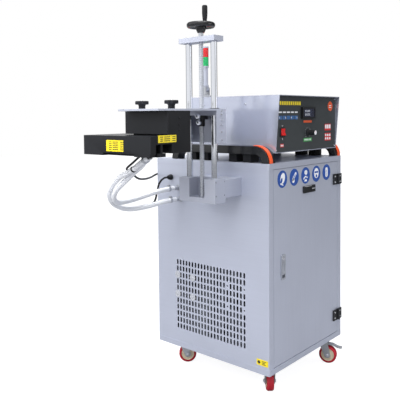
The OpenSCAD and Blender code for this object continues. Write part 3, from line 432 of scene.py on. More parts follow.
def make_materials():
    s = settings()
    flat = dict(cloud=3.0, vary=0.035)
    surface("steel_sheet", s.steel, (0.3, 0.42), 0.6, grain=(6, 6, 1400), grain_mix=0.10, bump=0.05, **flat)
    surface(
        "steel_upright", s.steel, (0.3, 0.42), 0.6, grain=(1200, 1200, 6), grain_mix=0.10, bump=0.05, **flat
    )
    # a darker copy of the sheet steel for the control box: its lower tone is painted shade
    surface(
        "shaded_box_steel", s.shaded_box_steel, (0.12, 0.2), 0.6, grain=(6, 6, 1400), grain_mix=0.08, bump=0.02, **flat
    )
    # painted shade: a near-black, barely glossy steel for the grille's inner face and slot walls
    surface(
        "slot_painted_shade", srgb(22, 23, 26), (0.5, 0.6), vary=0.1, grain=500, bump=0.05, Specular_IOR_Level=0.02,
    )
    surface(
        "screw_steel", srgb(196, 199, 206), (0.22, 0.34), 0.5, vary=0.06, cloud=40, grain=500, bump=0.06,
    )
    surface(
        "aluminium_block", s.aluminium, (0.34, 0.46), 0.45, grain=(9, 9, 900), grain_mix=0.08, bump=0.05,
        **flat
    )
    surface(
        "chrome_rod", s.chrome, (0.08, 0.14), 1.0, vary=0.02, grain=(700, 700, 5), grain_mix=0.03, bump=0.02,
    )
    surface("bright_bolt", s.chrome, (0.18, 0.3), 0.9, vary=0.05, cloud=60, grain=900, bump=0.05)
    surface("zinc_plate", s.zinc, (0.26, 0.42), 0.75, vary=0.08, cloud=35, grain=500, bump=0.08)
    surface(
        "black_plastic", s.plastic, (0.38, 0.52), vary=0.15, grain=900, bump=0.25, depth=0.0001,
        wear=shade(s.plastic, 3.2), Specular_IOR_Level=0.3,
    )
    surface(
        "black_gloss", shade(s.plastic, 0.8), (0.14, 0.24), vary=0.1, grain=250, bump=0.03, Coat_Weight=0.4,
        Coat_Roughness=0.12,
    )
    surface(
        "head_shell", s.head, (0.3, 0.42), vary=0.1, grain=1100, bump=0.22, depth=0.0001,
        wear=shade(s.head, 2.6), Specular_IOR_Level=0.22,
    )
    surface(
        "fan_black", shade(s.plastic, 0.5), (0.5, 0.6), vary=0.1, grain=600, bump=0.1,
        Specular_IOR_Level=0.08,
    )
    surface(
        "panel_paint", s.panel, (0.4, 0.5), vary=0.04, grain=1500, bump=0.12, depth=0.0001,
        Specular_IOR_Level=0.25,
    )
    surface("orange_cover", s.orange, (0.3, 0.42), vary=0.05, cloud=25, grain=700, bump=0.12, depth=0.0001)
    surface(
        "foot_rubber", shade(s.plastic, 1.1), (0.62, 0.75), vary=0.15, grain=1200, bump=0.3, depth=0.0002,
        Specular_IOR_Level=0.25,
    )
    surface("lock_case", s.lock, (0.3, 0.42), 0.5, vary=0.06, cloud=40, grain=800, bump=0.08)
    surface("tread_rubber", s.tread, (0.42, 0.55), vary=0.08, cloud=60, grain=900, bump=0.2, depth=0.0002)
    surface("hub_plastic", s.hub, (0.35, 0.48), vary=0.06, cloud=60, grain=900, bump=0.12, depth=0.0001)
    surface(
        "hose_rubber", s.hose, (0.28, 0.38), vary=0.012, cloud=8, grain=500, grain_mix=0.01, bump=0.02,
        Subsurface_Weight=0.08, Subsurface_Radius=(0.003, 0.003, 0.003),
    )
    surface(
        "cable_rubber", s.cable, (0.34, 0.46), vary=0.15, grain=900, bump=0.18, depth=0.0001,
        Specular_IOR_Level=0.3,
    )
    surface(
        "rail_dark", srgb(27, 28, 31), (0.35, 0.45), vary=0.08, grain=500, bump=0.08, Specular_IOR_Level=0.2,
    )
    surface("label_yellow", s.yellow, (0.3, 0.4), vary=0.04, cloud=40, grain=600, grain_mix=0.03, bump=0.05)
    # black for print and small black parts, and painted shade in screw recesses, socket floors and the
    # lock's keyway
    surface("black_marks_and_recess_shade", srgb(32, 32, 34), (0.35, 0.45), vary=0.08, grain=600, bump=0.05)
    surface(
        "label_white", srgb(236, 238, 242), (0.32, 0.42), vary=0.03, cloud=40, grain=600, grain_mix=0.03,
        bump=0.04,
    )
    surface("label_grey", srgb(170, 174, 184), (0.35, 0.45), vary=0.04, grain=600, bump=0.04)
    surface("disc_blue", s.blue, (0.25, 0.35), vary=0.06, cloud=30, grain=600, grain_mix=0.03, bump=0.04)
    printed = {"blue": (52, 96, 150), "orange": (226, 88, 40), "green": (70, 160, 84), "red": (204, 40, 44)}
    for key, rgb in printed.items():
        surface(f"label_{key}", srgb(*rgb), (0.3, 0.4), vary=0.05, grain=600, bump=0.04)
    surface(
        "rocker_red", srgb(206, 24, 26), (0.22, 0.32), vary=0.05, grain=400, bump=0.05, Coat_Weight=0.2,
        Coat_Roughness=0.15,
    )
    surface(
        "screen_blue", srgb(44, 48, 68), (0.12, 0.2), vary=0.05, cloud=30, grain=300, bump=0.02,
        Coat_Weight=0.5, Coat_Roughness=0.06,
    )
    surface(
        "screen_dark", srgb(38, 20, 24), (0.1, 0.18), vary=0.1, grain=300, bump=0.02, Coat_Weight=0.5,
        Coat_Roughness=0.06,
    )
    for key, colour in (("green", s.green_lens), ("red", s.red_lens)):
        surface(
            f"lens_{key}", colour, (0.16, 0.26), cloud=50, grain=300, bump=0.04, Transmission_Weight=0.25,
            IOR=1.49, Coat_Weight=0.4,
        )
    surface("unit_grey", srgb(140, 146, 156), (0.45, 0.55), 0.1, vary=0.06, grain=400, bump=0.1)


# cords: the routes repeat the source's, in millimetres

TIE_SHARE = 0.86

ROUTES = {
    "hose_1": (20, [
        (-310.05, 161, 779), (-330, 161, 779), (-349.7, 163.9, 777.6), (-368.7, 169.7, 775.3),
        (-386.9, 177.1, 772.2), (-404.5, 185.4, 767.9), (-421.9, 193.7, 762.7), (-439.5, 201.6, 757.5),
        (-457.6, 208.4, 752.8), (-476.5, 213.7, 748.9), (-495.9, 216.7, 746), (-515.8, 217.2, 744.5),
        (-535.7, 215.4, 744.2), (-555.2, 210.9, 744.6), (-573.8, 204.7, 748.3), (-590.5, 197.1, 755.7),
        (-604.6, 187.8, 766.3), (-615.1, 176.5, 778.8), (-621.5, 163.6, 792.5), (-623.6, 149.4, 806.2),
        (-621.4, 134.9, 819.8), (-615.7, 121.2, 833.3), (-609.9, 107.5, 846.7), (-605.2, 93.2, 859.8),
        (-601.2, 78.5, 872.8), (-597.3, 62.9, 884.6), (-594.7, 47.1, 896.6), (-594.2, 32.1, 909.8),
        (-595, 16.3, 922), (-595, -1, 932),
    ]),
    "hose_2": (20, [
        (-310.05, 150, 734), (-330, 150, 734), (-350, 153.2, 733.3), (-368.9, 159.9, 731.2),
        (-386.5, 169, 727), (-403.2, 179.3, 722.2), (-419.8, 190.1, 717.9), (-436.7, 200.6, 714.2),
        (-454.2, 210.3, 711.5), (-472.5, 218.8, 710.2), (-491.5, 225.6, 710.6), (-510.9, 230.5, 713.6),
        (-530.1, 233.3, 719.3), (-548.5, 233.8, 727.7), (-566, 232.2, 737.7), (-582, 227.5, 749.1),
        (-595.5, 220.2, 762.2), (-607, 210.9, 776), (-616.2, 199.7, 790.1), (-622.9, 186.9, 804.2),
        (-627.4, 172.6, 817.8), (-630.1, 157.2, 830.7), (-631.2, 141, 842.8), (-631.2, 124, 853.9),
        (-630, 106.3, 863.5), (-628, 87.9, 871.9), (-626, 69.6, 880.3), (-624.3, 51.9, 890),
        (-623.2, 34.7, 900.7), (-622.6, 17.7, 911.7), (-622, 0.3, 922), (-622, -17, 932),
    ]),
    "cable_1": (8, [
        (-296.05, 206, 820), (-314, 206, 820), (-332.7, 206.2, 812.8), (-346.9, 206.7, 798.4),
        (-354.7, 207, 780), (-361.6, 206.7, 761.7), (-368.8, 204.1, 743.8), (-379.8, 202.9, 728),
        (-395.2, 205.6, 716.9), (-412.9, 211.7, 711.8), (-430.7, 218.9, 709.7), (-448.6, 226.1, 708.2),
        (-466.5, 233.4, 707.5), (-484.5, 240.1, 708.3), (-502.7, 245.5, 711.7), (-520.6, 249.3, 717.7),
        (-537.7, 250.8, 726.3), (-553.2, 248.9, 737.4), (-564.7, 242.1, 751.1), (-573.2, 229.9, 763.1),
        (-581.9, 216.9, 774.2), (-590.2, 203.1, 784.3), (-597.6, 188.2, 793.7), (-603.3, 172.8, 803.3),
        (-606.3, 157.4, 813.9), (-605.6, 142.5, 825.6), (-601.5, 128.5, 837.7), (-596.1, 115, 849.9),
        (-591.6, 101.6, 862.6), (-587.6, 87.5, 874.7), (-583.8, 72.6, 885.7), (-580.5, 57.8, 897),
        (-577.1, 43.5, 908.9), (-574.4, 29.7, 921.6), (-570, 14, 931), (-570, -1.6, 940),
    ]),
    "cable_2": (8, [
        (-640, -1.6, 940), (-640, 14.2, 930.9), (-641.3, 28.9, 920.4), (-641.7, 44, 910.2),
        (-640.4, 59.6, 901.2), (-635.9, 75.2, 893.6), (-627.2, 89.4, 887.5), (-614.7, 100.9, 881.9),
        (-599.9, 109.5, 876.1), (-584.4, 116.2, 869.4), (-569.1, 122.1, 861.5), (-554, 128.2, 853.3),
        (-539, 135.3, 846.1), (-523.8, 143.5, 840.6), (-508.4, 152.3, 836.7), (-492.9, 161.5, 833.8),
        (-477.4, 170.7, 831.4), (-461.9, 180.1, 829.5), (-446.5, 189.7, 827.9), (-431.2, 199.4, 826.5),
        (-415.9, 209.2, 825.3), (-400.7, 219.1, 824.3), (-385.4, 229.1, 823.5), (-370.3, 239.2, 822.8),
        (-355.1, 249.3, 822.3), (-340, 259.4, 822), (-324.9, 269.5, 822.1), (-309.6, 279.4, 822.7),
        (-293.9, 288.5, 823.8), (-277.4, 295.7, 825.4), (-260, 300.4, 827.5), (-242.3, 303, 830),
        (-224.05, 303, 830),
    ]),
}


def smooth_route(points, n=3):
    """Points on a smooth curve through the route, whose ends are mirrored so that they stay straight."""
    p = [Vector(x) for x in points]
    p = [2 * p[0] - p[1], *p, 2 * p[-1] - p[-2]]
    out = []
    for a, b, c, d in zip(p, p[1:], p[2:], p[3:]):
        for k in range(n):
            t = k / n
            square = (2 * a - 5 * b + 4 * c - d) * t * t
            cube = (3 * b - a - 3 * c + d) * t ** 3
            out.append(0.5 * (2 * b + (c - a) * t + square + cube))
    out.append(p[-2])
    return out


def tube(name, points, d, mat, slot):
    """A round tube along points in millimetres, as a mesh."""
    data = bpy.data.curves.new(name + "_line", "CURVE")
    data.dimensions = "3D"
    line = data.splines.new("POLY")
    line.points.add(len(points) - 1)
    for q, p in zip(line.points, points):
        q.co = (*(p * MM), 1)
    data.bevel_depth = d / 2 * MM
    data.bevel_resolution = 5
    data.use_fill_caps = True
    holder = show(name + "_line", data)
    bpy.context.view_layer.update()
    me = bpy.data.meshes.new_from_object(holder.evaluated_get(bpy.context.evaluated_depsgraph_get()))
    bpy.data.objects.remove(holder)
    bpy.data.curves.remove(data)
    bm = bmesh.new()
    bm.from_mesh(me)
    bpy.data.meshes.remove(me)
    return finish_piece(name, bm, None, [mat], slot, 60)


def along(points, share):
    """A point and the direction at a share of a route's length."""
    total = sum((b - a).length for a, b in zip(points, points[1:]))
    gone = 0
    for a, b in zip(points, points[1:]):
        step = (b - a).length
        if gone + step >= share * total:
            return a + (b - a) * ((share * total - gone) / step), (b - a).normalized()
        gone += step
    return points[-1], (points[-1] - points[-2]).normalized()


def on_route(points, share):
    p, d = along(points, share)
    return Matrix.Translation(p) @ d.to_track_quat("Z", "Y").to_matrix().to_4x4()


def bend_with_head(piece):
    """Bakes the piece's placement into its mesh."""
    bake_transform(piece)


def make_cords():
    for name, (d, route) in ROUTES.items():
        points = smooth_route(route)
        white = name.startswith("hose")
        look = ("hose_rubber", "hose_white") if white else ("cable_rubber", "cable_black")
        cord = tube("cord_" + name, points, d, *look)
        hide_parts(name)
        bend_with_head(cord)


def band(bm, r, crest, half, at):
    """A ring on a hose of radius r; its crest is a radius too, and half is half its width."""
    low, top, flat = r - 0.6, r + 1, half - 0.8
    outline = [(low, -half), (top, -half), (crest, -flat), (crest, flat), (top, half), (low, half)]
    lathe(bm, outline, at, 0, 36)


def make_cord_ties():
    """Hose clamps near the ends, and a tie round the upper hose."""
    for name in ("hose_1", "hose_2"):
        d, route = ROUTES[name]
        points = smooth_route(route)
        r = d / 2
        for end, share in (("port", 0.045), ("head", 0.965)):
            bm = bmesh.new()
            at = on_route(points, share)
            band(bm, r, r + 1.5, 5, at)
            lug = at @ move(0, r + 7, 0) @ rotate(90, "X")
            slab(bm, 13, 9, 6.5, 1.5, lug, 0, 0.8)
            clamp = finish_piece(f"clamp_{name}_{end}", bm, None, **ZINC)
            bend_with_head(clamp)
    d, route = ROUTES["hose_2"]
    points = smooth_route(route)
    r = d / 2
    bm = bmesh.new()
    band(bm, r, r + 1.6, 3, on_route(points, TIE_SHARE))
    tie = finish_piece("hose_tie", bm, None, **BLACK)
    bend_with_head(tie)


# cabinet

def grille_shade(f):
    """Painted shade: the inner face and the walls of the slots take a near-black material in place of the
    shade inside the cabinet.
    """
    c = f.calc_center_median() / MM
    inside = abs(c.y) < 280 and 120 < c.z < 870
    return 1 if f.normal.x > -0.5 and inside else 0


def make_cabinet():
    s = settings()
    sheets = (
        ("floor_pan", "base_pan"), ("lid", "top_cap"), ("right_sheet", "side_right"),
        ("back_sheet", "back_panel"), ("front_frame", "door_frame"),
    )
    for name, node in sheets:
        dress(name, [node], "root", ["steel_sheet"], "stainless", s.edge)
    # the grille's inner face and slot walls get the painted shade material
    dress(
        "grille_sheet", ["side_left"], "root", ["steel_sheet", "slot_painted_shade"], "stainless", 0.3, least=400,
        pick=grille_shade,
    )


def make_fixings():
    """Screws and the plain yellow plate on the cabinet's side."""
    s = settings()
    bm = bmesh.new()
    for fan, y in enumerate((-132, 132)):
        for dy in (-41.25, 41.25):
            for z in (332, 413):
                at = left(SIDE_X, y + dy, z)
                if fan == 1:
                    washer(bm, s.washer_d, 4, 1.2, at)
                    pan_screw(bm, 9, at @ move(0, 0, 1.1), 0, 1)
                else:
                    pan_screw(bm, 6, at, 1, 1)
    finish_piece("grille_screws", bm, "root", **BOLTS)
    bm = bmesh.new()
    slab(bm, 52, 23, 0.4, 2, left(SIDE_X, -255, 152.5), 0)
    for k, w in enumerate((20, 14, 18)):
        slab(bm, w, 2.4, 0.2, 0, left(SIDE_X - 0.4, -263 + (20 - w) / 2, 158 - 5.5 * k), 1)
    slab(bm, 11, 11, 0.2, 2, left(SIDE_X - 0.4, -240, 152.5, 45), 1)
    finish_piece("side_plate", bm, "root", **PLATES)


# door

def make_door():
    s = settings()
    dress("door_sheet", ["door"], "door", ["steel_upright"], "stainless", s.edge)
    dress("frame_hinges", ["hinge_leaves"], "root", **BLACK, edge=0.5)
    dress("door_hinges", ["door_hinge_leaves"], "door", **BLACK, edge=0.5)
    dress("temperature_unit", ["controller"], "door", **BLACK, edge=0.5)
    dress("lock_case", ["lock_body"], "door", ["lock_case"], "lock_grey", 0.5)
    dress("lock_handle", ["lock_lever"], "lock_lever", ["lock_case"], "zinc", 0.5)
    for name, body, x in (("hinge_screws_frame", "root", 262), ("hinge_screws_door", "door", 218)):
        bm = bmesh.new()
        for z in (207.5, 798.5):
            for dz in (-12, 12):
                pan_screw(bm, 7, front(x, HINGE_Y, z + dz), 0, 1)
        finish_piece(name, bm, body, **BOLTS)
    bm = bmesh.new()
    slab(bm, 50, 17, 0.4, 1, front(-4, UNIT_Y, 779), 0)
    for k in range(3):
        slab(bm, 6, 11, 0.3, 0.6, front(-18 + 12 * k, UNIT_Y - 0.4, 779), 1)
    slab(bm, 50, 1.2, 0.3, 0, front(-4, -291, 791), 2)
    for k in range(3):
        disc(bm, 4, 0.6, front(45 - 9 * k, -292, 779), 2, steps=16)
    finish_piece("unit_face", bm, "door", ["screen_dark", "label_grey", "label_white"], "black_gloss")
    bm = bmesh.new()
    lathe(bm, [(0, 1.2), (3, 1.2), (6.4, 1.0), (7, 0.4), (7, -0.4)], front(-184.5, -290.4, 533), 0, 32)
    # the keyway is a thin dark slab, painted shade in its slot
    slab(bm, 1.6, 6, 0.3, 0.5, front(-184.5, -291.6, 533, 15), 1)
    finish_piece("lock_cylinder", bm, "door", ["bright_bolt", "black_marks_and_recess_shade"], "lock_grey")


def on_disc(i, dx=0, dz=0, lift=0.4, turn=0.0):
    """A place on one of the discs, from its middle."""
    return front(DISC_X + DISC_PITCH * i + dx, DOOR_Y - lift, DISC_Z + dz, turn)


def make_discs():
    """Five blue discs with plain white shapes."""
    s = settings()
    d = s.disc_d
    high = 0.6
    for i in range(5):
        bm = bmesh.new()
        disc(bm, d, 0.4, on_disc(i, lift=0), 0, steps=64)
        rim = [(d / 2 - 3, 0), (d / 2 - 3, 0.5), (d / 2 - 1.8, 0.5), (d / 2 - 1.8, 0)]
        lathe(bm, rim, on_disc(i, lift=0), 2, 64)
        if i == 0:
            disc(bm, 38, 0.2, on_disc(i, 2, 3, turn=-20), 1, wide=0.78, tall=1.1)
            disc(bm, 15, 0.2, on_disc(i, -6, -5, high, -20), 0, wide=0.8, tall=1.3)
            slab(bm, 22, 5, 0.2, 2, on_disc(i, -4, -20, turn=-20), 1)
        elif i == 1:
            slab(bm, 40, 11, 0.2, 5, on_disc(i, 0, 3, turn=48), 1)
            slab(bm, 24, 4, 0.2, 2, on_disc(i, 0, 3, high, 48), 0)
            disc(bm, 17, 0.2, on_disc(i, -7, -13), 1)
        elif i == 2:
            disc(bm, 22, 0.2, on_disc(i, 2, 12), 1, tall=0.85)
            slab(bm, 22, 6, 0.2, 3, on_disc(i, -8, -8, turn=35), 1)
            slab(bm, 12, 6, 0.2, 3, on_disc(i, 9, -7, turn=-35), 1)
            slab(bm, 18, 8, 0.2, 3, on_disc(i, 0, -20), 1)
        elif i == 3:
            disc(bm, 36, 0.2, on_disc(i, 0, 3), 1, tall=1.15)
            slab(bm, 30, 7, 0.2, 3, on_disc(i, 0, 7, high), 0)
            disc(bm, 13, 0.2, on_disc(i, 0, -9, high), 0)
        else:
            slab(bm, 20, 40, 0.2, 8, on_disc(i), 1)
            slab(bm, 3, 24, 0.2, 1, on_disc(i, -3, -3, high), 0)
        blue = ["disc_blue", "label_white", "label_blue"]
        finish_piece(f"door_disc_{i + 1}", bm, "door", blue, "lens_green")


# column

def make_column():
    s = settings()
    for name, node in (("arm", "column_arm"), ("foot_block", "column_base"), ("head_bar", "top_bar")):
        dress(name, [node], "root", **ALUMINIUM, edge=s.block_edge)
    dress("rods", ["guide_rods"], "root", ["chrome_rod"], "chromed")
    dress("wheel_casting", ["handwheel"], "spindle", ["black_gloss"], "black_gloss", smooth=38)
    dress("wheel_grip", ["crank_handle"], "crank", **BLACK, smooth=38)
    bm = bmesh.new()
    for side, y in ((front, -156), (back, 8)):
        for x in (-425, -377):
            for z in (785, 835):
                socket_screw(bm, 6.6, 5, side(x, y, z), 0, 1)
    finish_piece("foot_block_screws", bm, "root", **BOLTS)


def make_screw():
    """The lead screw, with a real thread between its journals."""
    s = settings()
    r, core = 9.0, 9.0 - s.thread_depth
    at = up(SCREW_X, SCREW_Y, 0)
    bm = bmesh.new()
    outline = [
        (0, 762.3), (5.6, 762.3), (6, 762.8), (6, 776.3), (core, 776.3), (core, 1344.7), (6, 1344.7),
        (6, 1365.3), (9, 1365.3), (9, 1380.4), (8.4, 1381), (6, 1381), (6, 1397.4), (5.4, 1398), (0, 1398),
    ]
    lathe(bm, outline, at, 0, 32)
    part = bmesh.new()
    lead = s.thread_pitch
    low, turns = THREAD_LOW, int((THREAD_HIGH - THREAD_LOW - 4) / lead)
    tooth = ((core - 0.6, 0), (r, 0.9), (r, 3.0), (core - 0.6, 3.9))
    start = [part.verts.new((x, 0, low + z)) for x, z in tooth]
    wire = [part.edges.new(pair) for pair in zip(start, start[1:])]
    bmesh.ops.spin(
        part, geom=start + wire, cent=(0, 0, 0), axis=(0, 0, 1), dvec=(0, 0, lead / 24),
        angle=math.tau * turns, steps=24 * turns,
    )
    bmesh.ops.recalc_face_normals(part, faces=part.faces)
    add(bm, part, at, 0)
    socket_screw(bm, 4, 1.0, front(SCREW_X, SCREW_Y - 8.4, 1373), 0, 1)
    o = finish_piece("threaded_screw", bm, "spindle", ["screw_steel", "black_marks_and_recess_shade"], "zinc")
    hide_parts("lead_screw")


# carriage and sealing head

def make_head():
    s = settings()
    dress("carriage_bracket", ["carriage"], "carriage", **ALUMINIUM, edge=s.block_edge)
    dress("screw_nut", ["lead_nut"], "carriage", **BLACK, edge=0.4)
    dress("mount_plate", ["head_plate"], "carriage", **ALUMINIUM, edge=s.edge)
    dress("upper_housing", ["head_housing"], "carriage", **SHELL, edge=s.block_edge)
    dress("coil_housing", ["coil_block"], "carriage", **SHELL, edge=s.block_edge)
    dress("head_cover", ["end_plate"], "carriage", **SHELL, edge=s.edge)
    dress("tunnel_rail", ["coil_rail"], "carriage", ["rail_dark"], "rail_dark", 0.6)
    for k in ("front", "rear"):
        dress(f"star_{k}", [f"knob_{k}"], f"knob_{k}", **BLACK, smooth=38)
    for k, y in (("front", -124), ("rear", 20)):
        bm = bmesh.new()
        lathe(bm, [(0, 3.2), (3.6, 3.2), (4.2, 2.6), (4.2, 0)], up(-613, y, 1128.2), 0, 24)
        washer(bm, 22, 11, 1.6, up(-613, y, 1101.2), 0)
        finish_piece(f"star_insert_{k}", bm, f"knob_{k}", ["bright_bolt"], "zinc")
    bm = bmesh.new()
    for z in (1060, 1042, 1017, 987, 1080, 1092):
        socket_screw(bm, 8, 3, front(-390, HEAD_Y, z), 0, 1)
        socket_screw(bm, 8, 3, back(-390, HEAD_BACK_Y, z), 0, 1)
    for z in (1070, 1048, 1030):
        pan_screw(bm, 8, front(-612, HEAD_Y, z), 2, 1)
    for y in (-135, -13):
        lathe(bm, [(12.1, 0), (12.1, 2.4), (17, 2.4), (18, 1.6), (18, 0)], up(SCREW_X, y, 1101), 2, 36)
    for x, z, r in ((-438, 1075, 11), (-433, 1051, 10)):
        lobe = [(0, -1), (0.5, -0.85), (0.9, -0.4), (1, 0), (0.9, 0.4), (0.5, 0.85), (0, 1)]
        lathe(bm, [(r * a, r * b) for a, b in lobe], up(x, -88, z), 0, 28)
    slab(bm, 9, 30, 7, 2, front(-432, -84, 1063), 0, 1)
    finish_piece("head_screws", bm, "carriage", ["bright_bolt", "black_marks_and_recess_shade", "black_plastic"], "zinc")
    bm = bmesh.new()
    slab(bm, 87, 38, 0.4, 2, left(HEAD_X, 13.5, 978), 0)
    for row in range(5):
        for k, w in enumerate((14, 20, 9, 16)):
            slab(bm, w, 2.6, 0.2, 0, left(HEAD_X - 0.4, 43 - 19 * k - w / 2, 991 - 6.4 * row), 1)
    slab(bm, 85, 24, 0.4, 2, front(-670.5, HEAD_Y, 1002), 0)
    for row in range(3):
        for k, w in enumerate((13, 18, 8, 15)):
            slab(bm, w, 2.4, 0.2, 0, front(-704 + 19 * k + w / 2, HEAD_Y - 0.4, 1008.5 - 6.4 * row), 1)
    finish_piece("head_plates", bm, "carriage", **PLATES)


# control box: how many fields in a row, from x to x, width of one, from z to z, and the colour's place

PANEL_FIELDS = (
    (10, -199, -51, 11, 1114, 1128, 0), (5, -206, -73, 21, 1084, 1089, 1),
    (5, -206, -73, 23, 1059, 1073, 2), (1, -29, 33, 62, 1045, 1054, 3),
    (1, -29, 33, 62, 970, 984, 4), (1, 139, 190, 51, 1010, 1037, 5),
    (1, 139, 190, 51, 968, 999, 5), (1, -196, -173, 23, 955, 968, 5),
)
PANEL_MARKS = (
    (3, 142, 187, 12, 1018, 1034, 1), (3, 142, 187, 10, 986, 995, 1), (3, 142, 187, 10, 972, 981, 1),
    (5, -22, 26, 6, 974, 980, 1), (2, -193, -176, 6, 958, 965, 1), (4, -202, -77, 3, 1063, 1069, 1),
)


def make_box():
    s = settings()
    # the control box takes the darker steel, painted shade on its sides
    dress("box_sheet", ["box_shell"], "root", ["shaded_box_steel"], "stainless", s.edge)
    dress("box_face", ["box_panel"], "root", ["panel_paint"], "panel_grey", 0.3)
    dress("bezels", ["panel_bezels"], "root", **BLACK, edge=0.5)
    dress("rocker_cap", ["rocker"], "rocker", ["rocker_red"], "rocker_red", 0.5)
    dress("dial_knob", ["dial"], "dial", **BLACK, smooth=38)
    dress("handle_tubes", ["handles"], "root", ["black_gloss"], "black_gloss", 1.2, least=3)
    dress("cover_strips", ["handle_grips"], "root", ["orange_cover"], "orange_cover", 0.8, least=1.5)
    dress("feet", ["box_feet"], "root", ["foot_rubber"], "foot_rubber", 1.2)
    y = BOX_Y
    bm = bmesh.new()
    for lift, table in ((0.0, PANEL_FIELDS), (0.3, PANEL_MARKS)):
        for count, x0, x1, w, z0, z1, m in table:
            for k in range(count):
                x = x0 + w / 2 + (x1 - x0 - w) * k / max(count - 1, 1)
                slab(bm, w, z1 - z0, 0.3, 0.8, front(x, y - lift, (z0 + z1) / 2), m)
    disc(bm, 40, 0.3, front(185, y, 1111), 3, steps=48)
    for dz in (-5, 3):
        slab(bm, 20, 3, 0.2, 1, front(185, y - 0.3, 1111 + dz), 1)
    slab(bm, 8, 1.6, 0.2, 0, front(-181, y, 1035), 1)
    slab(bm, 1.8, 8, 0.2, 0, front(-181, y, 986), 1)
    for a in range(0, 271, 27):
        t = math.radians(225 - a)
        slab(bm, 3.4, 0.9, 0.2, 0, front(3 + 21 * math.cos(t), y, 1005 + 21 * math.sin(t), 225 - a), 1)
    finish_piece(
        "panel_marks", bm, "root",
        ["label_yellow", "label_white", "label_blue", "label_orange", "label_green", "label_red"],
        "panel_grey",
    )
    bm = bmesh.new()
    slab(bm, 80, 32, 0.4, 1, front(0, y - 8, 1084), 0)
    for row in range(2):
        for k in range(4):
            slab(bm, 6, 9, 0.2, 0.6, front(-27 + 10 * k, y - 8.4, 1091 - 14 * row), 1)
    for k in range(3):
        slab(bm, 7, 4, 1.2, 0.8, front(30, y - 8.2, 1094 - 10 * k), 2, 0.3)
    finish_piece("meter_face", bm, "root", ["screen_blue", "label_grey", "black_marks_and_recess_shade"], "black_gloss")
    bm = bmesh.new()
    disc(bm, 17, 0.4, front(3, y - 35, 1005), 0, steps=40)
    slab(bm, 1.6, 8, 0.3, 0.4, front(3 - 3, y - 35.3, 1005 + 3.2, 42), 1)
    finish_piece("dial_face", bm, "dial", ["label_white", "label_red"], "black_plastic")
    bm = bmesh.new()
    for x in (-222, 222):
        for z in (944, 1141):
            pan_screw(bm, 6, front(x, y, z), 0, 1)
    for sx in (-1, 1):
        side = left if sx < 0 else right
        for yy in (-150, 60):
            pan_screw(bm, 7, side(230 * sx, yy, 1120), 0, 1)
    finish_piece("box_screws", bm, "root", **BOLTS)


def make_light():
    """The two-lens signal light; the lenses are ribbed."""
    dress("light_foot", ["tower_base"], "root", ["zinc_plate"], "black_plastic", 0.4)
    dress("light_post", ["tower_post"], "signal_light", ["aluminium_block"], "zinc", smooth=38)
    for node, z, mat in (("tower_green", 1280, "lens_green"), ("tower_red", 1317, "lens_red")):
        bm = bmesh.new()
        profile = [(0, 0.2), (12.2, 0.2)]
        rib = 35.4 / 9
        for k in range(9):
            base = 0.8 + k * rib
            profile += [(12.2, base), (13, base + 0.9), (13, base + rib - 1.1)]
        profile += [(12.2, 36.6), (0, 36.8)]
        lathe(bm, profile, up(-195, 80, z), 0, 40)
        o = finish_piece(f"{node}_ribbed", bm, "signal_light", [mat], mat)
        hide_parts(node)


# casters

CASTERS = (("fl", -195, -236, 41), ("fr", 195, -236, -71), ("rl", -195, 236, -49), ("rr", 195, 236, 100))


def make_casters():
    dress("swivel_plates", ["caster_plates"], "root", **ZINC, edge=0.4)
    bm = bmesh.new()
    for _, cx, cy, _ in CASTERS:
        for i in (-29, 29):
            for j in (-21, 21):
                disc(bm, 12, 4.4, down(cx + i, cy + j, 104, 17 * i), 0, 0.5, 6)
    finish_piece("plate_bolts", bm, "root", ["bright_bolt"], "zinc")
    hub_ring = [(9.5, 0.2), (9.5, 0.9), (10.4, 1.2), (13.6, 1.2), (14.4, 0.9), (14.4, 0.2)]
    for key, cx, cy, turn in CASTERS:
        axle = move(cx, cy, 0) @ rotate(turn) @ move(30, 0, 37.5)
        inverse = axle.inverted()

        def part_of_wheel(f, inverse=inverse):
            corners = [inverse @ (v.co / MM) for v in f.verts]
            return 0 if max(math.hypot(q.x, q.z) for q in corners) > 28 else 1

        dress(f"yoke_{key}", [f"fork_{key}"], f"caster_{key}", **ZINC, edge=0.4)
        dress(
            f"roller_{key}", [f"wheel_{key}"], f"wheel_{key}", ["tread_rubber", "hub_plastic"], "wheel_red",
            smooth=38, pick=part_of_wheel,
        )
        bm = bmesh.new()
        for side in (-1, 1):
            turned = axle @ move(0, side * 19.5, 0) @ rotate(-90 * side, "X")
            disc(bm, 13, 4, turned, 0, 0.6, 6)
            disc(bm, 7.6, 6, turned, 0, 0.8, 24)
        finish_piece(f"axle_nuts_{key}", bm, f"caster_{key}", ["bright_bolt"], "zinc")
        bm = bmesh.new()
        for side in (-1, 1):
            turned = axle @ move(0, side * 10.4, 0) @ rotate(-90 * side, "X")
            lathe(bm, hub_ring, turned, 0, 36)
            for k in range(6):
                slab(bm, 9, 1.6, 0.9, 0.6, turned @ rotate(60 * k) @ move(19, 0, 0.1), 0)
        finish_piece(f"hub_ribs_{key}", bm, f"wheel_{key}", ["hub_plastic"], "wheel_red")
    for key in ("fl", "fr"):
        dress(f"pedal_{key}", [f"brake_{key}"], f"brake_{key}", **ZINC, edge=0.4)


# inside and ports

def make_inside():
    dress(
        "side_ports", ["hose_ports"], "root", ["zinc_plate", "black_plastic"], "zinc", smooth=38,
        pick=lambda f: 1 if f.calc_center_median().y > 190 * MM else 0,
    )
    dress("fan_cages", ["fan_frames"], "root", **FAN, edge=0.3)
    for k in ("a", "b"):
        dress(f"fan_wheel_{k}", [f"fan_rotor_{k}"], f"fan_{k}", **FAN, smooth=38)
    dress("water_unit", ["cooling_unit"], "root", ["unit_grey"], "unit_grey", 2.0)


# studio: the strength of the even light, and what the camera alone sees the floor add

AMBIENT = 0.85
FLOOR_GLOW = 0.88
FLOOR_RADIUS = 14


